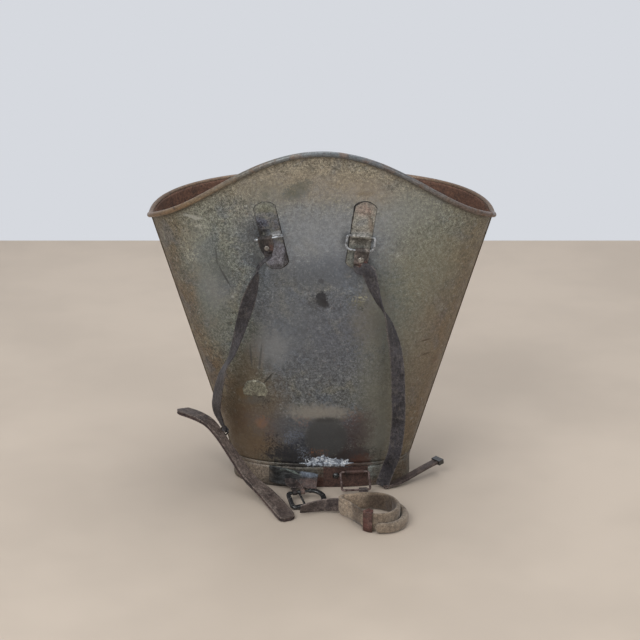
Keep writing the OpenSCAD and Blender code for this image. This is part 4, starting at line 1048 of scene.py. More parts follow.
def finish(name):
    """The named finish, made the first time it is asked for"""
    if name in bpy.data.materials:
        return bpy.data.materials[name]
    c = colours()
    h = harness()
    half = h.strap_width / 2
    makers = {
        "Wearer side": lambda: wall_finish(name, WEARER_MARKS),
        "Dull zinc": lambda: wall_finish(name, []),
        "Rusted inside": lambda: rusty_finish(name, c.rust, paint(56, 40, 33), paint(120, 104, 88)),
        "Rim metal": rim_finish,
        "Foot metal": lambda: chape_finish(
            name, paint(84, 78, 70), paint(98, 94, 86), paint(92, 74, 58), FOOT_MARKS),
        "Seam metal": lambda: chape_finish(name, paint(96, 84, 68), paint(108, 98, 82), paint(88, 66, 50)),
        "Chape metal": lambda: chape_finish(
            name, paint(96, 99, 106), paint(116, 116, 110), paint(112, 100, 88), CHAPE_MARKS),
        "Pale chape metal": lambda: chape_finish(
            name, paint(124, 121, 113), paint(140, 138, 131), paint(136, 120, 110), CHAPE_MARKS),
        "Solder": lambda: chape_finish(name, paint(112, 111, 98), paint(128, 126, 112), paint(98, 92, 80)),
        "Bright wire": lambda: wire_finish(name, paint(172, 176, 182), paint(112, 112, 112), 0.36, 0.55),
        "Rusty wire": lambda: wire_finish(name, paint(128, 112, 108), paint(76, 60, 56), 0.4, 0.6),
        "Rusty plate": lambda: rusty_finish(name, paint(76, 56, 50), paint(44, 36, 34), paint(104, 84, 74), 0.6, 0.3),
        "Black enamel": enamel_finish,
        "Rivet metal": lambda: wire_finish(name, paint(160, 154, 146), paint(100, 94, 88), 0.4, 0.6),
        "Dull rivet": lambda: wire_finish(name, paint(126, 120, 114), paint(74, 69, 66), 0.5, 0.5),
        "Dark leather": lambda: leather_finish(name, c.black_leather, paint(38, 36, 40), paint(100, 94, 90), half),
        "Pad leather": lambda: leather_finish(
            name, paint(80, 70, 68), paint(48, 42, 42), paint(120, 108, 102), half, 0.6, wear=1.6),
        "Tab leather": lambda: leather_finish(
            name, paint(24, 24, 25), paint(10, 10, 11), paint(66, 68, 68), h.tab_width / 2, 0.4,
            marks=TAB_MARKS, wear=1.4),
        "Brown leather": lambda: leather_finish(
            name, c.brown_leather, paint(60, 50, 48), paint(132, 120, 112), h.stout_width / 2, 0.65,
            stitched=h.stout_width / 2 - 0.0036, wear=1.8),
        "Lining leather": lambda: leather_finish(
            name, paint(62, 46, 44), paint(36, 28, 28), paint(96, 80, 74), h.stout_width / 2, 0.6),
        "Loop leather": lambda: leather_finish(
            name, paint(60, 54, 52), paint(34, 31, 31), paint(98, 90, 86), half, 0.6, marks=LOOP_MARKS, wear=1.4),
        "Pale loop leather": lambda: leather_finish(
            name, paint(84, 75, 71), paint(52, 47, 45), paint(118, 108, 102), half, 0.6, marks=LOOP_MARKS, wear=1.4),
        "Rear leather": lambda: leather_finish(
            name, paint(88, 76, 72), paint(56, 46, 44), paint(128, 114, 106), half, 0.6, wear=1.4),
        "Red leather": lambda: leather_finish(name, c.red_leather, paint(72, 54, 50), paint(132, 104, 94), half),
        "Pale leather": lambda: leather_finish(
            name, c.pale_leather, paint(66, 55, 52), paint(130, 116, 110), half, marks=BILLET_MARKS),
        "Felt": felt_finish,
        "White crust": crust_finish,
        "Edge dirt and shadow": edge_dirt_and_shadow_finish,
    }
    return makers[name]()


def dress_node(node, finish_name):
    """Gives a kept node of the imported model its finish"""
    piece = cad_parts[node]
    piece.data.materials.clear()
    piece.data.materials.append(finish(finish_name))


# Sheets
LOCK_TURN = 5


def dent(x, z, seed):
    """How far the sheet stands proud at a place, from shallow dents and one pushed-out bump"""
    depth = sizes().dents
    off = noise.noise(Vector((x * 11, z * 11, seed))) * depth
    off += noise.noise(Vector((x * 34, z * 34, seed + 5))) * depth * 0.35
    if seed == 0:
        reach = math.hypot((x + 0.114) / 0.024, (z - 0.190) / 0.019)
        off += 0.0008 * max(0.0, 1 - reach * reach)
        reach = math.hypot((x - 0.006) / 0.038, (z - 0.098) / 0.040)
        off += 0.0006 * max(0.0, 1 - reach ** 4)
    return off


def sheet_piece(name, start, end, seed, material, stands_for):
    wall = Wall()
    low = wall.sizes.foot_height + wall.sizes.fold_height / 2

    def place(u, v):
        turn = math.radians(start + (end - start) * u)
        z = low + (wall.rim_height(turn) - low) * v
        level = wall.plan(turn, z)
        ends = min(1.0, 8 * v, 8 * (1 - v), 14 * u, 14 * (1 - u))
        return wall.at(turn, z, dent(level.x, z, seed) * ends)

    def chart(u, v):
        turn = math.radians(start + (end - start) * u)
        top = wall.rim_height(turn)
        z = low + (top - low) * v
        return wall.plan(turn, z).x / wall.half_width(z), top - z

    piece = settle(
        grid_mesh(176, 112, place, chart), name, "hod",
        [material, finish("Rusted inside")], stands_for)
    thick = piece.modifiers.new("Sheet", 'SOLIDIFY')
    thick.thickness = wall.sizes.sheet
    thick.offset = -1
    thick.material_offset = 1
    return piece


def wall_patch(name, corners, columns, rows, lift, material):
    """Thin patch lying on the wearer's side, which shows where its lift is above the sheet"""
    wall = Wall()
    left, low, right, high = corners

    def place(u, v):
        x = left + (right - left) * u
        z = low + (high - low) * v
        edge = min(1.0, 8 * u, 8 * (1 - u), 8 * v, 8 * (1 - v))
        return wall.at(wall.turn_at(x, z), z, dent(x, z, 0) + (lift(x, z) + 0.0007) * edge - 0.0007)

    settle(
        grid_mesh(columns, rows, place, lambda u, v: (u, v)), name, "hod", [finish(material)])


def solder_lift(x, z):
    """Half-round plate with a ragged lower edge"""
    ragged = noise.noise(Vector((x * 160, z * 160, 6))) * 0.10 + noise.noise(Vector((x * 420, z * 420, 2))) * 0.05
    reach = math.hypot((x + 0.115) / 0.0215, (z - 0.184) / 0.0215) + ragged
    low = (z - 0.173) / 0.012 + ragged * 2
    inside = max(0.0, min(1.0, (1 - reach) * 9)) * max(0.0, min(1.0, low * 4))
    return 0.0015 * inside + 0.0004 * inside * noise.noise(Vector((x * 90, z * 90, 4))) - 0.0006 * (inside == 0)


def crust_lift(x, z):
    """Lumpy crust, thickest just above the foot seam"""
    lumps = noise.noise(Vector((x * 95, z * 95, 3))) * 0.7 + noise.noise(Vector((x * 300, z * 300, 8))) * 0.5
    reach = ((x - 0.008) / 0.043) ** 2 + ((z - 0.0475) / 0.012) ** 2
    peak = math.exp(-((x - 0.002) / 0.009) ** 2 - ((z - 0.060) / 0.007) ** 2)
    height = 0.62 - reach + 1.25 * lumps + 0.9 * peak
    base = 0.0019 if z < 0.0462 else 0.0
    return base + max(-0.6, min(1.0, height)) * 0.0016


class HOD_OT_sheets(bpy.types.Operator):
    """Build the two dented sheets of the tapered body"""

    bl_idname = "hod.sheets"
    bl_label = "Sheets"

    def execute(self, context):
        sheet_piece("wearer_sheet", 180 + LOCK_TURN, 360 - LOCK_TURN, 0, finish("Wearer side"), ["back_sheet"])
        sheet_piece("front_sheet_dressed", -LOCK_TURN, 180 + LOCK_TURN, 4, finish("Dull zinc"), ["front_sheet"])
        for node in ("left_seam", "right_seam"):
            dress_node(node, "Seam metal")
        wall_patch("solder_patch", (-0.145, 0.160, -0.085, 0.214), 90, 80, solder_lift, "Solder")
        wall_patch("white_crust", (-0.046, 0.0365, 0.060, 0.072), 150, 56, crust_lift, "White crust")
        return {'FINISHED'}


# Rim
class HOD_OT_rim(bpy.types.Operator):
    """Build the rim, rolled outwards over its wire"""

    bl_idname = "hod.rim"
    bl_label = "Rolled Rim"

    def execute(self, context):
        wall = Wall()
        outer = wall.sizes.rim / 2
        inner = outer - wall.sizes.sheet
        steps = 216
        arc = [math.radians(180 - 255 * j / 22) for j in range(23)]
        rings = []
        for i in range(steps):
            turn = 2 * math.pi * i / steps
            worn = noise.noise(Vector((math.cos(turn) * 9, math.sin(turn) * 9, 1))) * 0.00018
            ring = [wall.rim_point(turn, a, outer + worn) for a in arc]
            ring += [wall.rim_point(turn, a, inner) for a in reversed(arc)]
            rings.append(ring)
        mesh = tube_mesh(rings, lambda column, row: (column / 46, row / steps), closed=True)
        settle(mesh, "rolled_rim", "hod", [finish("Rim metal")], ["rim_bead"])
        dress_node("rim_wire", "Rusty wire")
        return {'FINISHED'}


# Foot
class HOD_OT_foot(bpy.types.Operator):
    """Build the folded foot seam and the foot band, and finish the base plate"""

    bl_idname = "hod.foot"
    bl_label = "Foot"

    def execute(self, context):
        wall = Wall()
        s = wall.sizes
        steps = 240
        fold = [(-2 * s.sheet, -0.5), (0.3 * s.fold_depth, -0.5), (0.7 * s.fold_depth, -0.47),
                (0.95 * s.fold_depth, -0.36), (s.fold_depth, -0.1), (s.fold_depth, 0.15),
                (0.92 * s.fold_depth, 0.36), (0.65 * s.fold_depth, 0.47), (0.25 * s.fold_depth, 0.5),
                (-2 * s.sheet, 0.5)]
        rings = []
        for i in range(steps):
            turn = 2 * math.pi * i / steps
            uneven = noise.noise(Vector((math.cos(turn) * 14, math.sin(turn) * 14, 3))) * 0.0004
            rings.append([
                wall.at(turn, 0, off + (uneven if off > 0 else 0)) + Vector((0, 0, s.foot_height + s.fold_height * up))
                for off, up in fold])
        mesh = tube_mesh(rings, lambda column, row: (column / 10, row / steps), closed=True)
        settle(mesh, "folded_foot_seam", "hod", [finish("Foot metal")], ["foot_seam"])
        top = s.foot_height - s.fold_height / 2
        heights = [0, 0.001, 0.004, 0.010, 0.018, 0.026, 0.033, top]
        rings = []
        for i in range(steps):
            turn = 2 * math.pi * i / steps
            ring = []
            for z in heights:
                flare = noise.noise(Vector((math.cos(turn) * 7, math.sin(turn) * 7, z * 40))) * 0.0003
                ring.append(wall.at(turn, 0, flare) + Vector((0, 0, z)))
            ring += [wall.at(turn, 0, -s.sheet) + Vector((0, 0, z)) for z in reversed(heights)]
            rings.append(ring)
        mesh = tube_mesh(rings, lambda column, row: (column / 16, row / steps), closed=True)
        settle(mesh, "foot_band_dressed", "hod", [finish("Foot metal")], ["foot_band"])
        dress_node("base_plate", "Rusted inside")
        return {'FINISHED'}


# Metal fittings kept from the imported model
class HOD_OT_fittings(bpy.types.Operator):
    """Finish the chapes, rings, rivets and buckles, and add the dark line of dirt and painted shadow round the chapes
    """

    bl_idname = "hod.fittings"
    bl_label = "Fittings"

    def execute(self, context):
        for node, name in (
                ("left_chape", "Chape metal"), ("right_chape", "Pale chape metal"), ("lower_chape", "Rusty plate"),
                ("lower_chape_rivet", "Black enamel"), ("left_ring", "Bright wire"), ("right_ring", "Bright wire"),
                ("lower_ring", "Rusty wire"), ("slide_loop", "Black enamel"),
                ("floor_buckle_tongue", "Black enamel"), ("rear_strap_tip", "Black enamel")):
            dress_node(node, name)
        self.floor_buckle()
        # Dark line round each chape: dirt and painted shadow, thickest towards the side given
        for name, x, tilt, heavy in (
                ("left_chape_dirt_and_shadow", -84, -11, Vector((0.9, -1.0))), ("right_chape_dirt_and_shadow", 65, 8, Vector((-1.1, 0.5)))):
            self.chape_dirt_and_shadow(name, x * MM, tilt, heavy)
        return {'FINISHED'}

    def floor_buckle(self):
        """Heavy frame with a groove round it and one round end, thinned where its strap holds it"""
        bar = floor_buckle_frame() @ Matrix.Translation((-0.01975, 0, 0))
        arm = 0.0195
        reach = 0.0395
        bend = 0.006
        path = [((reach - 0.0035 * i, 0), 0.0023) for i in range(1, 10)]
        path += [
            ((bend - bend * math.sin(a), -bend + bend * math.cos(a)), 0.0038)
            for a in (i * math.pi / 10 for i in range(6))]
        path += [((0, -bend - (2 * arm - 2 * bend) * i / 6), 0.0041) for i in range(1, 6)]
        path += [
            ((bend - bend * math.cos(a), -2 * arm + bend - bend * math.sin(a)), 0.0043)
            for a in (i * math.pi / 10 for i in range(6))]
        path += [((bend + (reach - bend) * i / 6, -2 * arm), 0.0049) for i in range(1, 6)]
        path += [
            ((reach + arm * math.sin(a), -arm - arm * math.cos(a)), 0.0048 - 0.0020 * max(0.0, i / 16 - 0.5))
            for i, a in ((i, math.pi * i / 16) for i in range(17))]
        rings = []
        for i, ((x, y), radius) in enumerate(path):
            after = path[(i + 1) % len(path)][0]
            before = path[i - 1][0]
            along = Vector((after[0] - before[0], after[1] - before[1], 0)).normalized()
            side = along.cross(Vector((0, 0, 1)))
            ring = []
            for k in range(20):
                angle = 2 * math.pi * k / 20
                groove = 1 - 0.22 * math.exp(-((math.sin(angle) - 1) / 0.12) ** 2)
                local = Vector((x, y, 0)) + side * radius * groove * math.cos(angle)
                ring.append(bar @ (local + Vector((0, 0, 0.92 * radius * groove * math.sin(angle)))))
            rings.append(ring)
        mesh = tube_mesh(rings, lambda column, row: (column / 20, row / len(path)), closed=True)
        settle(mesh, "floor_buckle_frame", "floor_buckle", [finish("Black enamel")], ["floor_buckle"])

    def chape_dirt_and_shadow(self, name, x, tilt, heavy):
        """Uneven line of dirt and painted shadow along a chape's edge, thickest towards one side"""
        wall = Wall()
        frame_on_wall = wall.frame(x, 0.475, tilt)
        half = 0.018
        straight = 0.05065
        arc = math.atan2(half, straight - 0.038)
        edge = []
        for side in (1, -1):
            edge += [(side * half, side * (-straight + 2 * straight * i / 24)) for i in range(25)]
            for i in range(1, 16):
                angle = arc - 2 * arc * i / 16
                edge.append((side * 0.022 * math.sin(angle), side * (0.038 + 0.022 * math.cos(angle))))
        rings = []
        for i, (across, up) in enumerate(edge):
            after = edge[(i + 1) % len(edge)]
            along = Vector((after[0] - across, 0, after[1] - up)).normalized()
            side = along.cross(Vector((0, 1, 0)))
            load = max(0.0, heavy.dot(Vector((across / half, up / straight))))
            thin = 0.0008 + 0.0007 * load + 0.0007 * noise.noise(Vector((across * 110, up * 110, x * 50)))
            ring = []
            for k in range(8):
                angle = math.pi * k / 4
                spot = frame_on_wall @ Vector((across, 0, up))
                ground = wall.before(spot.x, 0, spot.z)
                push = frame_on_wall.to_3x3() @ (
                    side * thin * math.cos(angle) - Vector((0, 1, 0)) * thin * 0.8 * math.sin(angle))
                ring.append(ground + push)
            rings.append(ring)
        mesh = tube_mesh(rings, lambda column, row: (column / 8, row / 80), closed=True)
        settle(mesh, name, "hod", [finish("Edge dirt and shadow")])


# Carrying straps
RING_LENGTH = 0.024
BARREL_Y = -0.004
BORE = 0.00208
DOUBLED = 0.026
DOWN_FACE = Vector((0, -1, 0))
UP_FACE = Vector((0, 0, 1))
LEFT_ROWS = [
    (-104, 37, 430, 62, 0.34), (-110, 38, 408, 130, 0.8), (-122, 40, 366, 170, 1), (-133, 42, 329, 190, 0.86),
    (-148, 45, 278, 230, 0.72), (-160, 46, 250, 262, 1), (-171, 48, 220, 242, 1), (-180, 52, 178, 228, 0.95),
    (-182, 52, 146, 224, 0.8),
]
RIGHT_ROWS = [
    (77, 18, 416, 8, 1), (84, 21, 394, 25, 0.92), (95, 24, 362, 58, 0.8), (107, 27, 336, 95, 1),
    (116, 29, 308, 128, 1), (124, 32, 274, 152, 1), (129, 35, 232, 172, 1), (131, 38, 184, 180, 1),
    (132, 40, 148, 182, 1), (130, 40, 108, 185, 1), (126, 38, 74, 190, 1), (118, 31, 46, 194, 1),
    (109, 22, 16, 196, 1), (106, 19, 4.5, 196, 1),
]
STOUT_ROWS = [
    (-57, -224, 4.4, 0, 0.45), (-59, -219, 4.4, 0, 0.85), (-62, -208, 4.4, 0, 1), (-71, -184, 4.4, 0, 1),
    (-84, -156, 7, 0, 1), (-101, -133, 15, 0, 0.92), (-126, -113, 31, 0, 0.8), (-153, -92, 63, 0, 0.68),
    (-180, -73, 97, 0, 0.64), (-198, -55, 111, 0, 0.72), (-220, -32, 114.5, 0, 0.84),
    (-245, -6, 113, 0, 0.84), (-250, 2, 112, 0, 0.5),
]
RIGHT_SLIDE = 5
SLIDE_BAR = 0.0032
SLIDE_OUT = 0.0113
SLIDE_UP = 0.0089
SLIDE_SHARE = 0.42
SLIDE_LEAN = 38


def ring_bar(x, tilt, swing, shift):
    """Frame on the lower bar of a top ring, with the strap hanging along -Z"""
    return (
        Wall().frame(x * MM, 0.475, tilt)
        @ Matrix.Translation((shift * MM, BARREL_Y, 0))
        @ Matrix.Rotation(math.radians(-swing), 4, 'X')
        @ Matrix.Translation((0, 0, -RING_LENGTH))
        @ Matrix.Rotation(math.radians(swing - 6), 4, 'X')
    )


def slide_frame():
    """Frame of the slide loop's bar: X along the bar, Z up the strap that is folded round it"""
    rows = in_metres(STOUT_ROWS)
    at = Vector(rows[8][:3])
    along = (Vector(curve_row(rows, 8, 0.5)[:3]) - Vector(curve_row(rows, 7, 0.5)[:3])).normalized()
    across = along.cross(UP_FACE).normalized()
    out = across.cross(along)
    lean = math.radians(SLIDE_LEAN)
    up = out * math.cos(lean) - across * math.sin(lean)
    turned = Matrix((along, up.cross(along), up)).transposed().to_4x4()
    return Matrix.Translation(at + across * SLIDE_OUT + out * SLIDE_UP) @ turned


def hanging_frames(bar, rows, taper, extra=()):
    """Frames of a strap: its doubled end round the ring's bar, then its route before the wall"""
    thick = harness().strap
    across = bar.to_3x3() @ Vector((1, 0, 0))
    doubled = []
    lower = (1 + taper) / 2
    for y, z, share in (
            (0.5, -DOUBLED, taper), (0.52, -0.021, lower), (0.5, -0.016, 0.95), (0.55, -0.0115, 1), (0.8, -0.0075, 1)):
        doubled.append((bar @ Vector((0, y * thick, z)), across, share))
    doubled += bar_bend(bar, BORE + thick / 2, -125, 125, 14)
    for y, z, share in ((-0.8, -0.0075, 1), (-0.55, -0.0115, 1), (-0.5, -0.016, 0.95), (-0.5, -0.021, lower)):
        doubled.append((bar @ Vector((0, y * thick, z)), across, share))
    down = bar.to_3x3() @ Vector((0, 0, -1))
    roll = roll_to(down, DOWN_FACE, across, 0)
    wall = Wall()
    first = bar @ Vector((0, -0.2 * thick, -DOUBLED))
    second = bar @ Vector((0, 0, -DOUBLED - 0.005))
    path = [[*first, roll, taper], [*second, roll, taper * taper]]
    path += [[*wall.before(x * MM, gap * MM, z * MM), turn, share] for x, gap, z, turn, share in rows]
    path += list(extra)
    return doubled + route_frames(path, DOWN_FACE, 8)


def strap_rivet(name, node, body, bar, radius, material):
    """Rivet with a worn domed head, through a strap's doubled end"""
    profile = [(0.1, 3.4), (0.8, 3.4), (0.8, 2.6), (0.4, 2.6), (0.4, -2.4), (0.85, -2.4), (1.0, -2.6), (1.0, -3.1),
               (0.9, -3.8), (0.74, -4.35), (0.5, -4.7), (0.28, -4.7), (0.08, -4.6)]
    rings = []
    for share, y in profile:
        ring = []
        for k in range(28):
            angle = 2 * math.pi * k / 28
            worn = 1 + 0.05 * noise.noise(Vector((math.cos(angle) * 1.5, math.sin(angle) * 1.5, radius * 1000)))
            reach = radius * share * worn
            ring.append(bar @ Vector((reach * math.cos(angle), y * MM, reach * math.sin(angle) - DOUBLED * 0.6)))
        rings.append(ring)
    mesh = tube_mesh(rings, lambda column, row: (column / 28, row / 12))
    settle(mesh, name, body, [finish(material)], [node])


class HOD_OT_carrying_straps(bpy.types.Operator):
    """Build the two dark straps, doubled round their rings and twisting as they fall"""

    bl_idname = "hod.carrying_straps"
    bl_label = "Carrying Straps"

    def execute(self, context):
        h = harness()
        slide = slide_frame()
        turned = slide.to_3x3()
        across = turned @ Vector((1, 0, 0))
        out = turned @ Vector((0, 0, 1))
        flap = SLIDE_BAR / 2 + 0.00008 + h.strap / 2
        end = slide @ Vector((0, flap, 0.0136))
        over = end + out * 0.008
        roll = roll_to(-out, DOWN_FACE, across, 224)
        extra = [[*over, roll, SLIDE_SHARE], [*end, roll, SLIDE_SHARE]]
        frames = hanging_frames(ring_bar(-84, -11, 105, -5), LEFT_ROWS, 0.6, extra)
        flip = -1 if frames[-1][1].dot(across) < 0 else 1
        frames += [
            (slide @ Vector((0, flap, z)), across * flip, SLIDE_SHARE)
            for z in (0.0105, 0.0075, 0.0045, 0.002)]
        frames += [
            (centre, side * flip, SLIDE_SHARE) for centre, side, _ in bar_bend(slide, flap, -90, -325, 16)]
        mesh = strap_mesh(frames, h.strap_width, h.strap - 0.0002, cup=0.0006, wave=0.0009, seed=3)
        self.redden(mesh, 0.062)
        settle(
            mesh, "left_carrying_strap", "left_strap",
            [finish("Dark leather"), finish("Loop leather")], ["left_strap", "left_strap_loop", "left_strap_fold"])
        bar = ring_bar(-84, -11, 105, -5)
        strap_rivet("left_rivet", "left_strap_rivet", "left_strap", bar, 0.0043, "Dull rivet")
        bar = ring_bar(65, 8, 8, RIGHT_SLIDE)
        strap_rivet("right_rivet", "right_strap_rivet", "right_strap", bar, 0.0055, "Rivet metal")
        frames = hanging_frames(bar, RIGHT_ROWS, 0.9)
        mesh = strap_mesh(frames, h.strap_width, h.strap, cup=-0.0005, wave=0.0009, seed=21)
        self.redden(mesh, 0.066)
        settle(
            mesh, "right_carrying_strap", "right_strap",
            [finish("Dark leather"), finish("Pale loop leather")], ["right_strap", "right_strap_loop"])
        return {'FINISHED'}

    def redden(self, mesh, length):
        """Gives the doubled end, up to a length along the strap, the second finish"""
        layer = mesh.loops.layers.uv.active
        for face in mesh.faces:
            if max(loop[layer].uv.y for loop in face.loops) < length:
                face.material_index = 1


# Stout strap
class HOD_OT_stout_strap(bpy.types.Operator):
    """Build the stout strap's two stitched layers"""

    bl_idname = "hod.stout_strap"
    bl_label = "Stout Strap"

    def execute(self, context):
        h = harness()
        frames = route_frames(in_metres(STOUT_ROWS), UP_FACE, 8)
        frames = frames[1:-1]
        shift = h.stout / 2 + 0.00003
        for name, node, side, seed, leather in (
                ("stout_strap_face", "stout_strap", 1, 31, "Brown leather"),
                ("stout_strap_back", "stout_strap_lining", -1, 47, "Lining leather")):
            mesh = strap_mesh(
                frames, h.stout_width * (1 if side == 1 else 1.03), h.stout - 0.0003, cup=0.0004 * side,
                wave=0.0006, shift=shift * side, seed=seed)
            settle(mesh, name, "stout_strap", [finish(leather)], [node])
        return {'FINISHED'}


# Rear strap
REAR_ROWS = [
    (108, -90, 5, 0, 1), (128, -83, 7, 0, 1), (146, -71, 10, 0, 1), (166, -55, 15, 0, 1),
    (188, -37, 20, 0, 1), (206, -22, 23, 0, 1),
]


class HOD_OT_rear_strap(bpy.types.Operator):
    """Build the two layers of the strap that runs off behind the foot"""

    bl_idname = "hod.rear_strap"
    bl_label = "Rear Strap"

    def execute(self, context):
        h = harness()
        frames = route_frames(in_metres(REAR_ROWS), UP_FACE, 7)
        for name, side, seed in (("rear_strap_upper", 1, 51), ("rear_strap_under", -1, 63)):
            mesh = strap_mesh(
                frames, h.strap_width * 0.58, h.strap - 0.0002, cup=0.0003 * side, wave=0.0006,
                shift=side * h.strap * 0.5, seed=seed)
            settle(
                mesh, name, "right_strap", [finish("Rear leather")],
                ["rear_strap"] if side == 1 else ())
        return {'FINISHED'}


# Foot tab and billet
TAB_ROWS = [
    (-92, 3, 24, 84, 1), (-78, 7, 24, 80, 1), (-60, 11, 23, 75, 1), (-42, 14, 21, 68, 1),
    (-24, 15, 19, 60, 1), (-8, 15, 17, 52, 0.9),
]
BUCKLE_TURN = 16
BUCKLE_TILT = 15
BUCKLE_BAR = 0.0046


def floor_buckle_frame():
    """Frame at the middle of the floor buckle's back bar"""
    return (
        Matrix.Translation((-0.059, -0.141, 0.013894))
        @ Matrix.Rotation(math.radians(BUCKLE_TURN), 4, 'Z')
        @ Matrix.Rotation(math.radians(BUCKLE_TILT), 4, 'X')
        @ Matrix.Translation((0.01975, 0, 0))
    )


class HOD_OT_foot_tab(bpy.types.Operator):
    """Build the dark tab along the foot and the pale billet that holds the floor buckle"""

    bl_idname = "hod.foot_tab"
    bl_label = "Foot Tab and Billet"

    def execute(self, context):
        h = harness()
        wall = Wall()
        rows = [[*wall.before(x * MM, gap * MM, z * MM), roll, share] for x, gap, z, roll, share in TAB_ROWS]
        mesh = strap_mesh(
            route_frames(rows, UP_FACE, 8), h.tab_width, h.tab - 0.0002, cup=0.0008, wave=0.0024, seed=71)
        settle(mesh, "foot_tab_dressed", "hod", [finish("Tab leather")], ["foot_tab"])
        thick = h.strap * 0.8
        bar = floor_buckle_frame()
        turned = bar.to_3x3()
        across = turned @ Vector((1, 0, 0))
        up = turned @ Vector((0, 1, 0))
        reach = BUCKLE_BAR / 2 + 0.00008
        end = bar @ Vector((0, reach + 0.0086, 0))
        before_end = end + up * 0.005
        top = wall.before(-0.054, 0.013, 0.022)
        rows = [
            [*top, 0, 1], [top.x + 0.002, top.y - 0.011, 0.017, 0, 1],
            [*before_end, 0, 1], [*end, 0, 1]]
        mesh = strap_mesh(route_frames(rows, UP_FACE, 8), 0.022, thick, cup=-0.0003, wave=0.0004, seed=83)
        settle(mesh, "billet_dressed", "hod", [finish("Pale leather")], ["billet"])
        ring = reach + thick / 2
        for side, name in ((-1, "billet_lobe_left"), (1, "billet_lobe_right")):
            shift = bar @ Matrix.Translation((side * 0.0071, 0, 0))
            lobe = [(shift @ Vector((0, reach + 0.0098, 0)), across, 1),
                    (shift @ Vector((0, reach + 0.0065, 0.0006)), across, 1),
                    (shift @ Vector((0, reach + 0.0035, 0.0018)), across, 1)]
            lobe += bar_bend(shift, ring, -30, 235, 14)
            lobe += [(shift @ Vector((0, reach + 0.0045, -0.0018)), across, 1)]
            mesh = strap_mesh(lobe, 0.0076, thick - 0.0002, wave=0.0002, seed=91)
            settle(
                mesh, name, "hod", [finish("Pale leather")],
                ["billet_fold"] if side == 1 else ())
        return {'FINISHED'}


# Shoulder pad
PAD_PATH = [
    (31, -190), (52, -180), (76, -175), (99, -177), (117, -189), (128, -212), (126, -238),
    (113, -255), (96, -260), (80, -259), (66, -243), (48, -216),
]
PAD_STRAP_ROWS = [
    (32, -194, 17, 90, 1), (22, -193, 17, 90, 1), (4, -192, 15.5, 84, 1), (-14, -195, 14, 74, 1),
    (-30, -200, 13, 62, 1), (-36, -202, 12.5, 58, 0.9),
]


def pad_point(at):
    """Point on the pad's closed path, counted in path points"""
    count = len(PAD_PATH)
    i = math.floor(at)
    t = at - i
    a, b, c, d = (Vector(PAD_PATH[(i + k) % count]) for k in (-1, 0, 1, 2))
    place = 0.5 * (2 * b + (c - a) * t + (2 * a - 5 * b + 4 * c - d) * t ** 2 + (3 * b - a - 3 * c + d) * t ** 3)
    return Vector((place.x * MM, place.y * MM, harness().pad_height / 2))


def pad_frame(at):
    """Centre, outward side and direction of the pad's path"""
    along = (pad_point(at + 0.2) - pad_point(at - 0.2)).normalized()
    return pad_point(at), UP_FACE.cross(along).normalized(), along


def pillow_outline(width, height, count=28, power=3.2):
    """Rounded section of a band that stands on its edge, as pairs across and up"""
    ring = []
    for i in range(count):
        angle = 2 * math.pi * i / count
        c = math.cos(angle)
        s = math.sin(angle)
        reach = (abs(c) ** power + abs(s) ** power) ** (-1 / power)
        ring.append((width / 2 * c * reach, height / 2 * s * reach))
    return ring


def keep_frame(piece):
    bpy.context.view_layer.update()
    shown = piece.evaluated_get(bpy.context.evaluated_depsgraph_get())
    return bpy.data.meshes.new_from_object(shown)


def swell(piece, cell, pressure, limit):
    """Puffs a padded piece with a cloth simulation, holding every point near where it began"""
    finishes = list(piece.data.materials)
    even = piece.modifiers.new("Even faces", 'REMESH')
    even.mode = 'VOXEL'
    even.voxel_size = cell
    data = keep_frame(piece)
    piece.modifiers.clear()
    piece.data = data
    start = [vert.co.copy() for vert in data.vertices]
    cloth = piece.modifiers.new("Cloth", 'CLOTH')
    cloth.settings.quality = 6
    cloth.settings.use_pressure = True
    cloth.settings.uniform_pressure_force = pressure
    cloth.settings.effector_weights.gravity = 0
    cloth.point_cache.frame_start = 1
    cloth.point_cache.frame_end = 20
    for step in range(1, 21):
        bpy.context.scene.frame_set(step)
    data = keep_frame(piece)
    piece.modifiers.clear()
    bpy.context.scene.frame_set(1)
    for vert, was in zip(data.vertices, start):
        moved = vert.co - was
        if moved.length > limit:
            moved *= limit / moved.length
        vert.co = was + moved
        vert.co.z = max(vert.co.z, 0.0001)
    piece.data = data
    data.materials.clear()
    for material in finishes:
        data.materials.append(material)
    data.polygons.foreach_set("use_smooth", [True] * len(data.polygons))


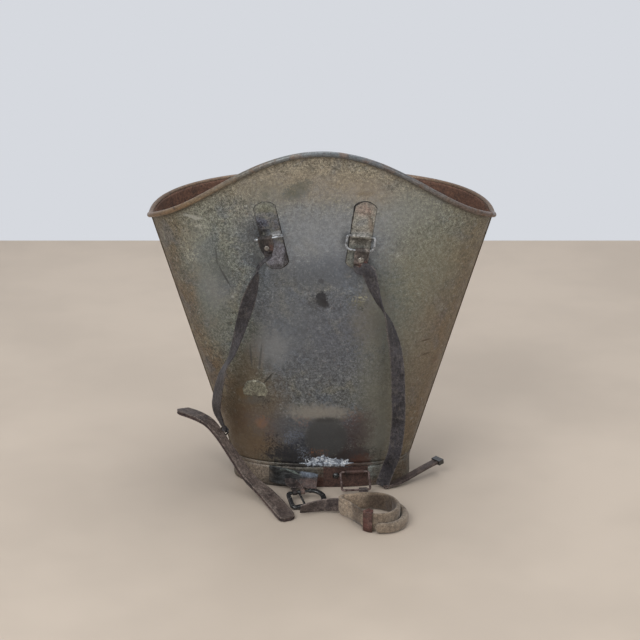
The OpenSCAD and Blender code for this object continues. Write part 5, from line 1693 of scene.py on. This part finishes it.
class HOD_OT_pad(bpy.types.Operator):
    """Build the felt shoulder pad, its outer layer, its keeper, its strap and its tie"""

    bl_idname = "hod.pad"
    bl_label = "Shoulder Pad"

    def execute(self, context):
        h = harness()
        self.band(h)
        self.outer_layer(h)
        self.keeper(h)
        frames = route_frames(in_metres(PAD_STRAP_ROWS), UP_FACE, 7)
        mesh = strap_mesh(frames, h.strap_width, h.strap, cup=0.0005, wave=0.0006, seed=97)
        settle(mesh, "pad_strap_dressed", "pad", [finish("Pad leather")], ["pad_strap"])
        self.tie(h)
        return {'FINISHED'}

    def band(self, h):
        rings = []
        for i in range(72):
            centre, side, _ = pad_frame(i / 6)
            uneven = noise.noise(Vector((i * 0.4, 1, 1))) * 0.0008
            rings.append([
                centre + side * (x + uneven) + UP_FACE * z
                for x, z in pillow_outline(h.pad - 0.0014, h.pad_height - 0.0012)])
        mesh = tube_mesh(rings, lambda column, row: (column / 28, row / 72), closed=True)
        piece = settle(mesh, "pad_band_felt", "pad", [finish("Felt")], ["pad_band"])
        swell(piece, 0.0026, 4.0, 0.0011)
        soften(piece)

    def outer_layer(self, h):
        start = 13
        end = 34
        rings = []
        for i in range(64):
            at = start + (end - start) * i / 63
            centre, side, _ = pad_frame(at / 4)
            bulge = 0.005 * math.sin(math.pi * (at - start) / (end - start))
            off = h.pad + 0.0001 + bulge / 2
            closing = min(1.0, math.sqrt(max(0.02, min(i, 63 - i) / 3)))
            rings.append([
                centre + side * (off + x * closing)
                + UP_FACE * (z * closing - (h.pad_height - h.pad_layer) / 2)
                for x, z in pillow_outline(h.pad - 0.001 + bulge, h.pad_layer - 0.001)])
        mesh = tube_mesh(rings, lambda column, row: (column / 28, row / 64))
        piece = settle(mesh, "pad_outer_layer", "pad", [finish("Felt")], ["pad_low_layer"])
        swell(piece, 0.0026, 4.0, 0.0009)
        soften(piece)

    def keeper(self, h):
        thick = h.strap
        rings = []
        for i in range(9):
            centre, side, _ = pad_frame((34.8 + 3 * i / 8) / 4)
            path = []
            wide = h.pad / 2 + 0.0001
            tall = h.pad_height / 2 + 0.0001
            for off in (thick, 0.0002):
                out = wide + off
                top = tall + off
                arc = [(out - 0.002 + 0.002 * math.cos(a), top - 0.002 + 0.002 * math.sin(a))
                       for a in (0, math.pi / 8, math.pi / 4, 3 * math.pi / 8, math.pi / 2)]
                half = [(out, -h.pad_height / 2 + 0.0003), (out, -0.006), (out, 0.006)] + arc
                line = half + [(-x, z) for x, z in reversed(half)]
                path += line if off == thick else list(reversed(line))
            rings.append([centre + side * x + UP_FACE * z for x, z in path])
        mesh = tube_mesh(rings, lambda column, row: (row * 0.002 - 0.008, column * 0.003))
        settle(mesh, "pad_keeper_dressed", "pad", [finish("Red leather")], ["pad_keeper"])

    def tie(self, h):
        wall = Wall()
        bar = (
            wall.frame(0.057, 0.030)
            @ Matrix.Translation((0.012, BARREL_Y, 0))
            @ Matrix.Rotation(math.radians(-52), 4, 'X')
            @ Matrix.Translation((0, 0, -0.036))
            @ Matrix.Rotation(math.radians(52), 4, 'X')
        )
        thick = h.strap * 0.8
        across = bar.to_3x3() @ Vector((1, 0, 0))
        away = bar.to_3x3() @ Vector((0, -1, 0))
        ring = BORE + thick / 2
        loop = [(bar @ Vector((0, -BORE - 0.0075, -0.0011)), across, 1),
                (bar @ Vector((0, -BORE - 0.004, -0.0016)), across, 1)]
        for angle in range(0, 281, 20):
            a = math.radians(220 - angle)
            loop.append((bar @ Vector((0, ring * math.cos(a), ring * math.sin(a))), across, 1))
        start = bar @ Vector((0, -BORE - 0.0086, 0.0003))
        then = start + away * 0.005
        end = pad_point(5 / 4)
        end = Vector((end.x, end.y + h.pad / 2 - 0.0004, 0.006))
        rows = [
            [*start, 0, 1], [*then, 0, 1],
            [(then.x + end.x) / 2, (then.y + end.y) / 2, 0.006, 0, 1], [*end, 0, 1]]
        strip = route_frames(rows, UP_FACE, 8)
        flip = -1 if strip[0][1].dot(across) < 0 else 1
        loop = [(centre, side * flip, share) for centre, side, share in loop]
        mesh = strap_mesh(loop + strip, 0.015, thick, wave=0.0004, seed=103)
        settle(mesh, "tie_strap_dressed", "pad", [finish("Pad leather")], ["tie_strap", "tie_loop"])


# Stage
class HOD_OT_stage(bpy.types.Operator):
    """Build the plain floor and backdrop, the soft lamps and the camera"""

    bl_idname = "hod.stage"
    bl_label = "Stage"

    def execute(self, context):
        scene = context.scene
        scene.view_settings.view_transform = 'Standard'
        self.floor()
        self.backdrop()
        self.world(scene)
        self.lamp("Key lamp", (-1.6, -2.4, 2.6), (0, 0, 0.3), 2.2, 62)
        self.lamp("Fill lamp", (2.2, -2.2, 1.6), (0, 0, 0.3), 2.2, 24)
        self.lamp("Top lamp", (0.2, 0.6, 2.8), (0, 0, 0.4), 1.8, 30)
        data = bpy.data.cameras.new("Camera")
        data.lens = 99.06
        data.sensor_width = 36
        camera = bpy.data.objects.new("Camera", data)
        camera.location = (-0.003, -2.925, 1.286)
        camera.rotation_euler = (math.radians(71.07), 0, 0)
        scene.collection.objects.link(camera)
        scene.camera = camera
        return {'FINISHED'}

    def plane(self, name, place, material):
        mesh = bmesh.new()
        bmesh.ops.create_grid(mesh, x_segments=2, y_segments=2, size=0.5)
        for vert in mesh.verts:
            vert.co = place(vert.co.x + 0.5, vert.co.y + 0.5)
        data = bpy.data.meshes.new(name)
        mesh.to_mesh(data)
        mesh.free()
        piece = bpy.data.objects.new(name, data)
        bpy.context.scene.collection.objects.link(piece)
        data.materials.append(material)

    def floor(self):
        material, web, shader = new_finish("Pale floor", 0.55)
        shader.inputs["Specular IOR Level"].default_value = 0.25
        place = object_place(web)
        soft = web.span(web.noise(place, 3.0, 3.0), 0.35, 0.65, 0.46, 0.54)
        web.feed(web.mix(0.5, colours().floor, soft, 'OVERLAY'), shader.inputs["Base Color"])
        self.plane("floor", lambda u, v: Vector((8 * u - 4, 6.5 * v - 5.04, -0.0002)), material)

    def backdrop(self):
        material, web, shader = new_finish("Pale backdrop", 0.9)
        shader.inputs["Base Color"].default_value = (*colours().backdrop, 1)
        glow = web.node("ShaderNodeEmission", {"Color": colours().backdrop, "Strength": 1.0})
        seen = web.node("ShaderNodeLightPath").outputs
        share = web.math('MAXIMUM', seen["Is Camera Ray"], seen["Is Glossy Ray"])
        share = web.math('MAXIMUM', share, seen["Is Transmission Ray"])
        mixed = web.node("ShaderNodeMixShader", {0: share, 1: shader.outputs[0], 2: glow.outputs[0]})
        behind = web.node("ShaderNodeNewGeometry").outputs["Backfacing"]
        clear = web.node("ShaderNodeBsdfTransparent").outputs[0]
        open_back = web.node("ShaderNodeMixShader", {0: behind, 1: mixed.outputs[0], 2: clear})
        web.feed(open_back.outputs[0], material.node_tree.nodes["Material Output"].inputs["Surface"])
        self.plane("backdrop", lambda u, v: Vector((8 * u - 4, 1.46, 3.2 * v - 0.0002)), material)

    def world(self, scene):
        world = bpy.data.worlds.new("Soft daylight")
        world.use_nodes = True
        sky = world.node_tree.nodes["Background"]
        sky.inputs["Color"].default_value = (0.96, 0.98, 1.0, 1)
        sky.inputs["Strength"].default_value = 0.55
        scene.world = world

    def lamp(self, name, place, target, size, watts):
        data = bpy.data.lights.new(name, 'AREA')
        data.size = size
        data.energy = watts
        lamp = bpy.data.objects.new(name, data)
        lamp.location = place
        lamp.rotation_euler = (Vector(target) - Vector(place)).to_track_quat('-Z', 'Y').to_euler()
        bpy.context.scene.collection.objects.link(lamp)


class HOD_PT_panel(bpy.types.Panel):
    """Sizes, colours and steps of the grape hod"""

    bl_idname = "HOD_PT_panel"
    bl_label = "Grape Hod"
    bl_space_type = 'VIEW_3D'
    bl_region_type = 'UI'
    bl_category = "Grape Hod"

    def draw(self, context):
        for label, group in (
                ("Metal body", context.scene.hod_sizes), ("Harness", context.scene.harness_sizes),
                ("Colours", context.scene.hod_colours)):
            box = self.layout.box()
            box.label(text=label)
            for name in group.__annotations__:
                box.prop(group, name)
        for operator in OPERATORS:
            self.layout.operator(operator.bl_idname)


OPERATORS = (
    HOD_OT_stage, HOD_OT_sheets, HOD_OT_rim, HOD_OT_foot, HOD_OT_fittings, HOD_OT_carrying_straps,
    HOD_OT_stout_strap, HOD_OT_rear_strap, HOD_OT_foot_tab, HOD_OT_pad,
)
CLASSES = (HodSizes, HarnessSizes, HodColours) + OPERATORS + (HOD_PT_panel,)


def register():
    for cls in CLASSES:
        bpy.utils.register_class(cls)
    bpy.types.Scene.hod_sizes = PointerProperty(type=HodSizes)
    bpy.types.Scene.harness_sizes = PointerProperty(type=HarnessSizes)
    bpy.types.Scene.hod_colours = PointerProperty(type=HodColours)


def unregister():
    del bpy.types.Scene.hod_colours
    del bpy.types.Scene.harness_sizes
    del bpy.types.Scene.hod_sizes
    for cls in reversed(CLASSES):
        bpy.utils.unregister_class(cls)


def main():
    register()
    bpy.ops.hod.stage()
    bpy.ops.hod.sheets()
    bpy.ops.hod.rim()
    bpy.ops.hod.foot()
    bpy.ops.hod.fittings()
    bpy.ops.hod.carrying_straps()
    bpy.ops.hod.stout_strap()
    bpy.ops.hod.rear_strap()
    bpy.ops.hod.foot_tab()
    bpy.ops.hod.pad()
    bpy.context.view_layer.update()


if __name__ == "__main__":
    main()
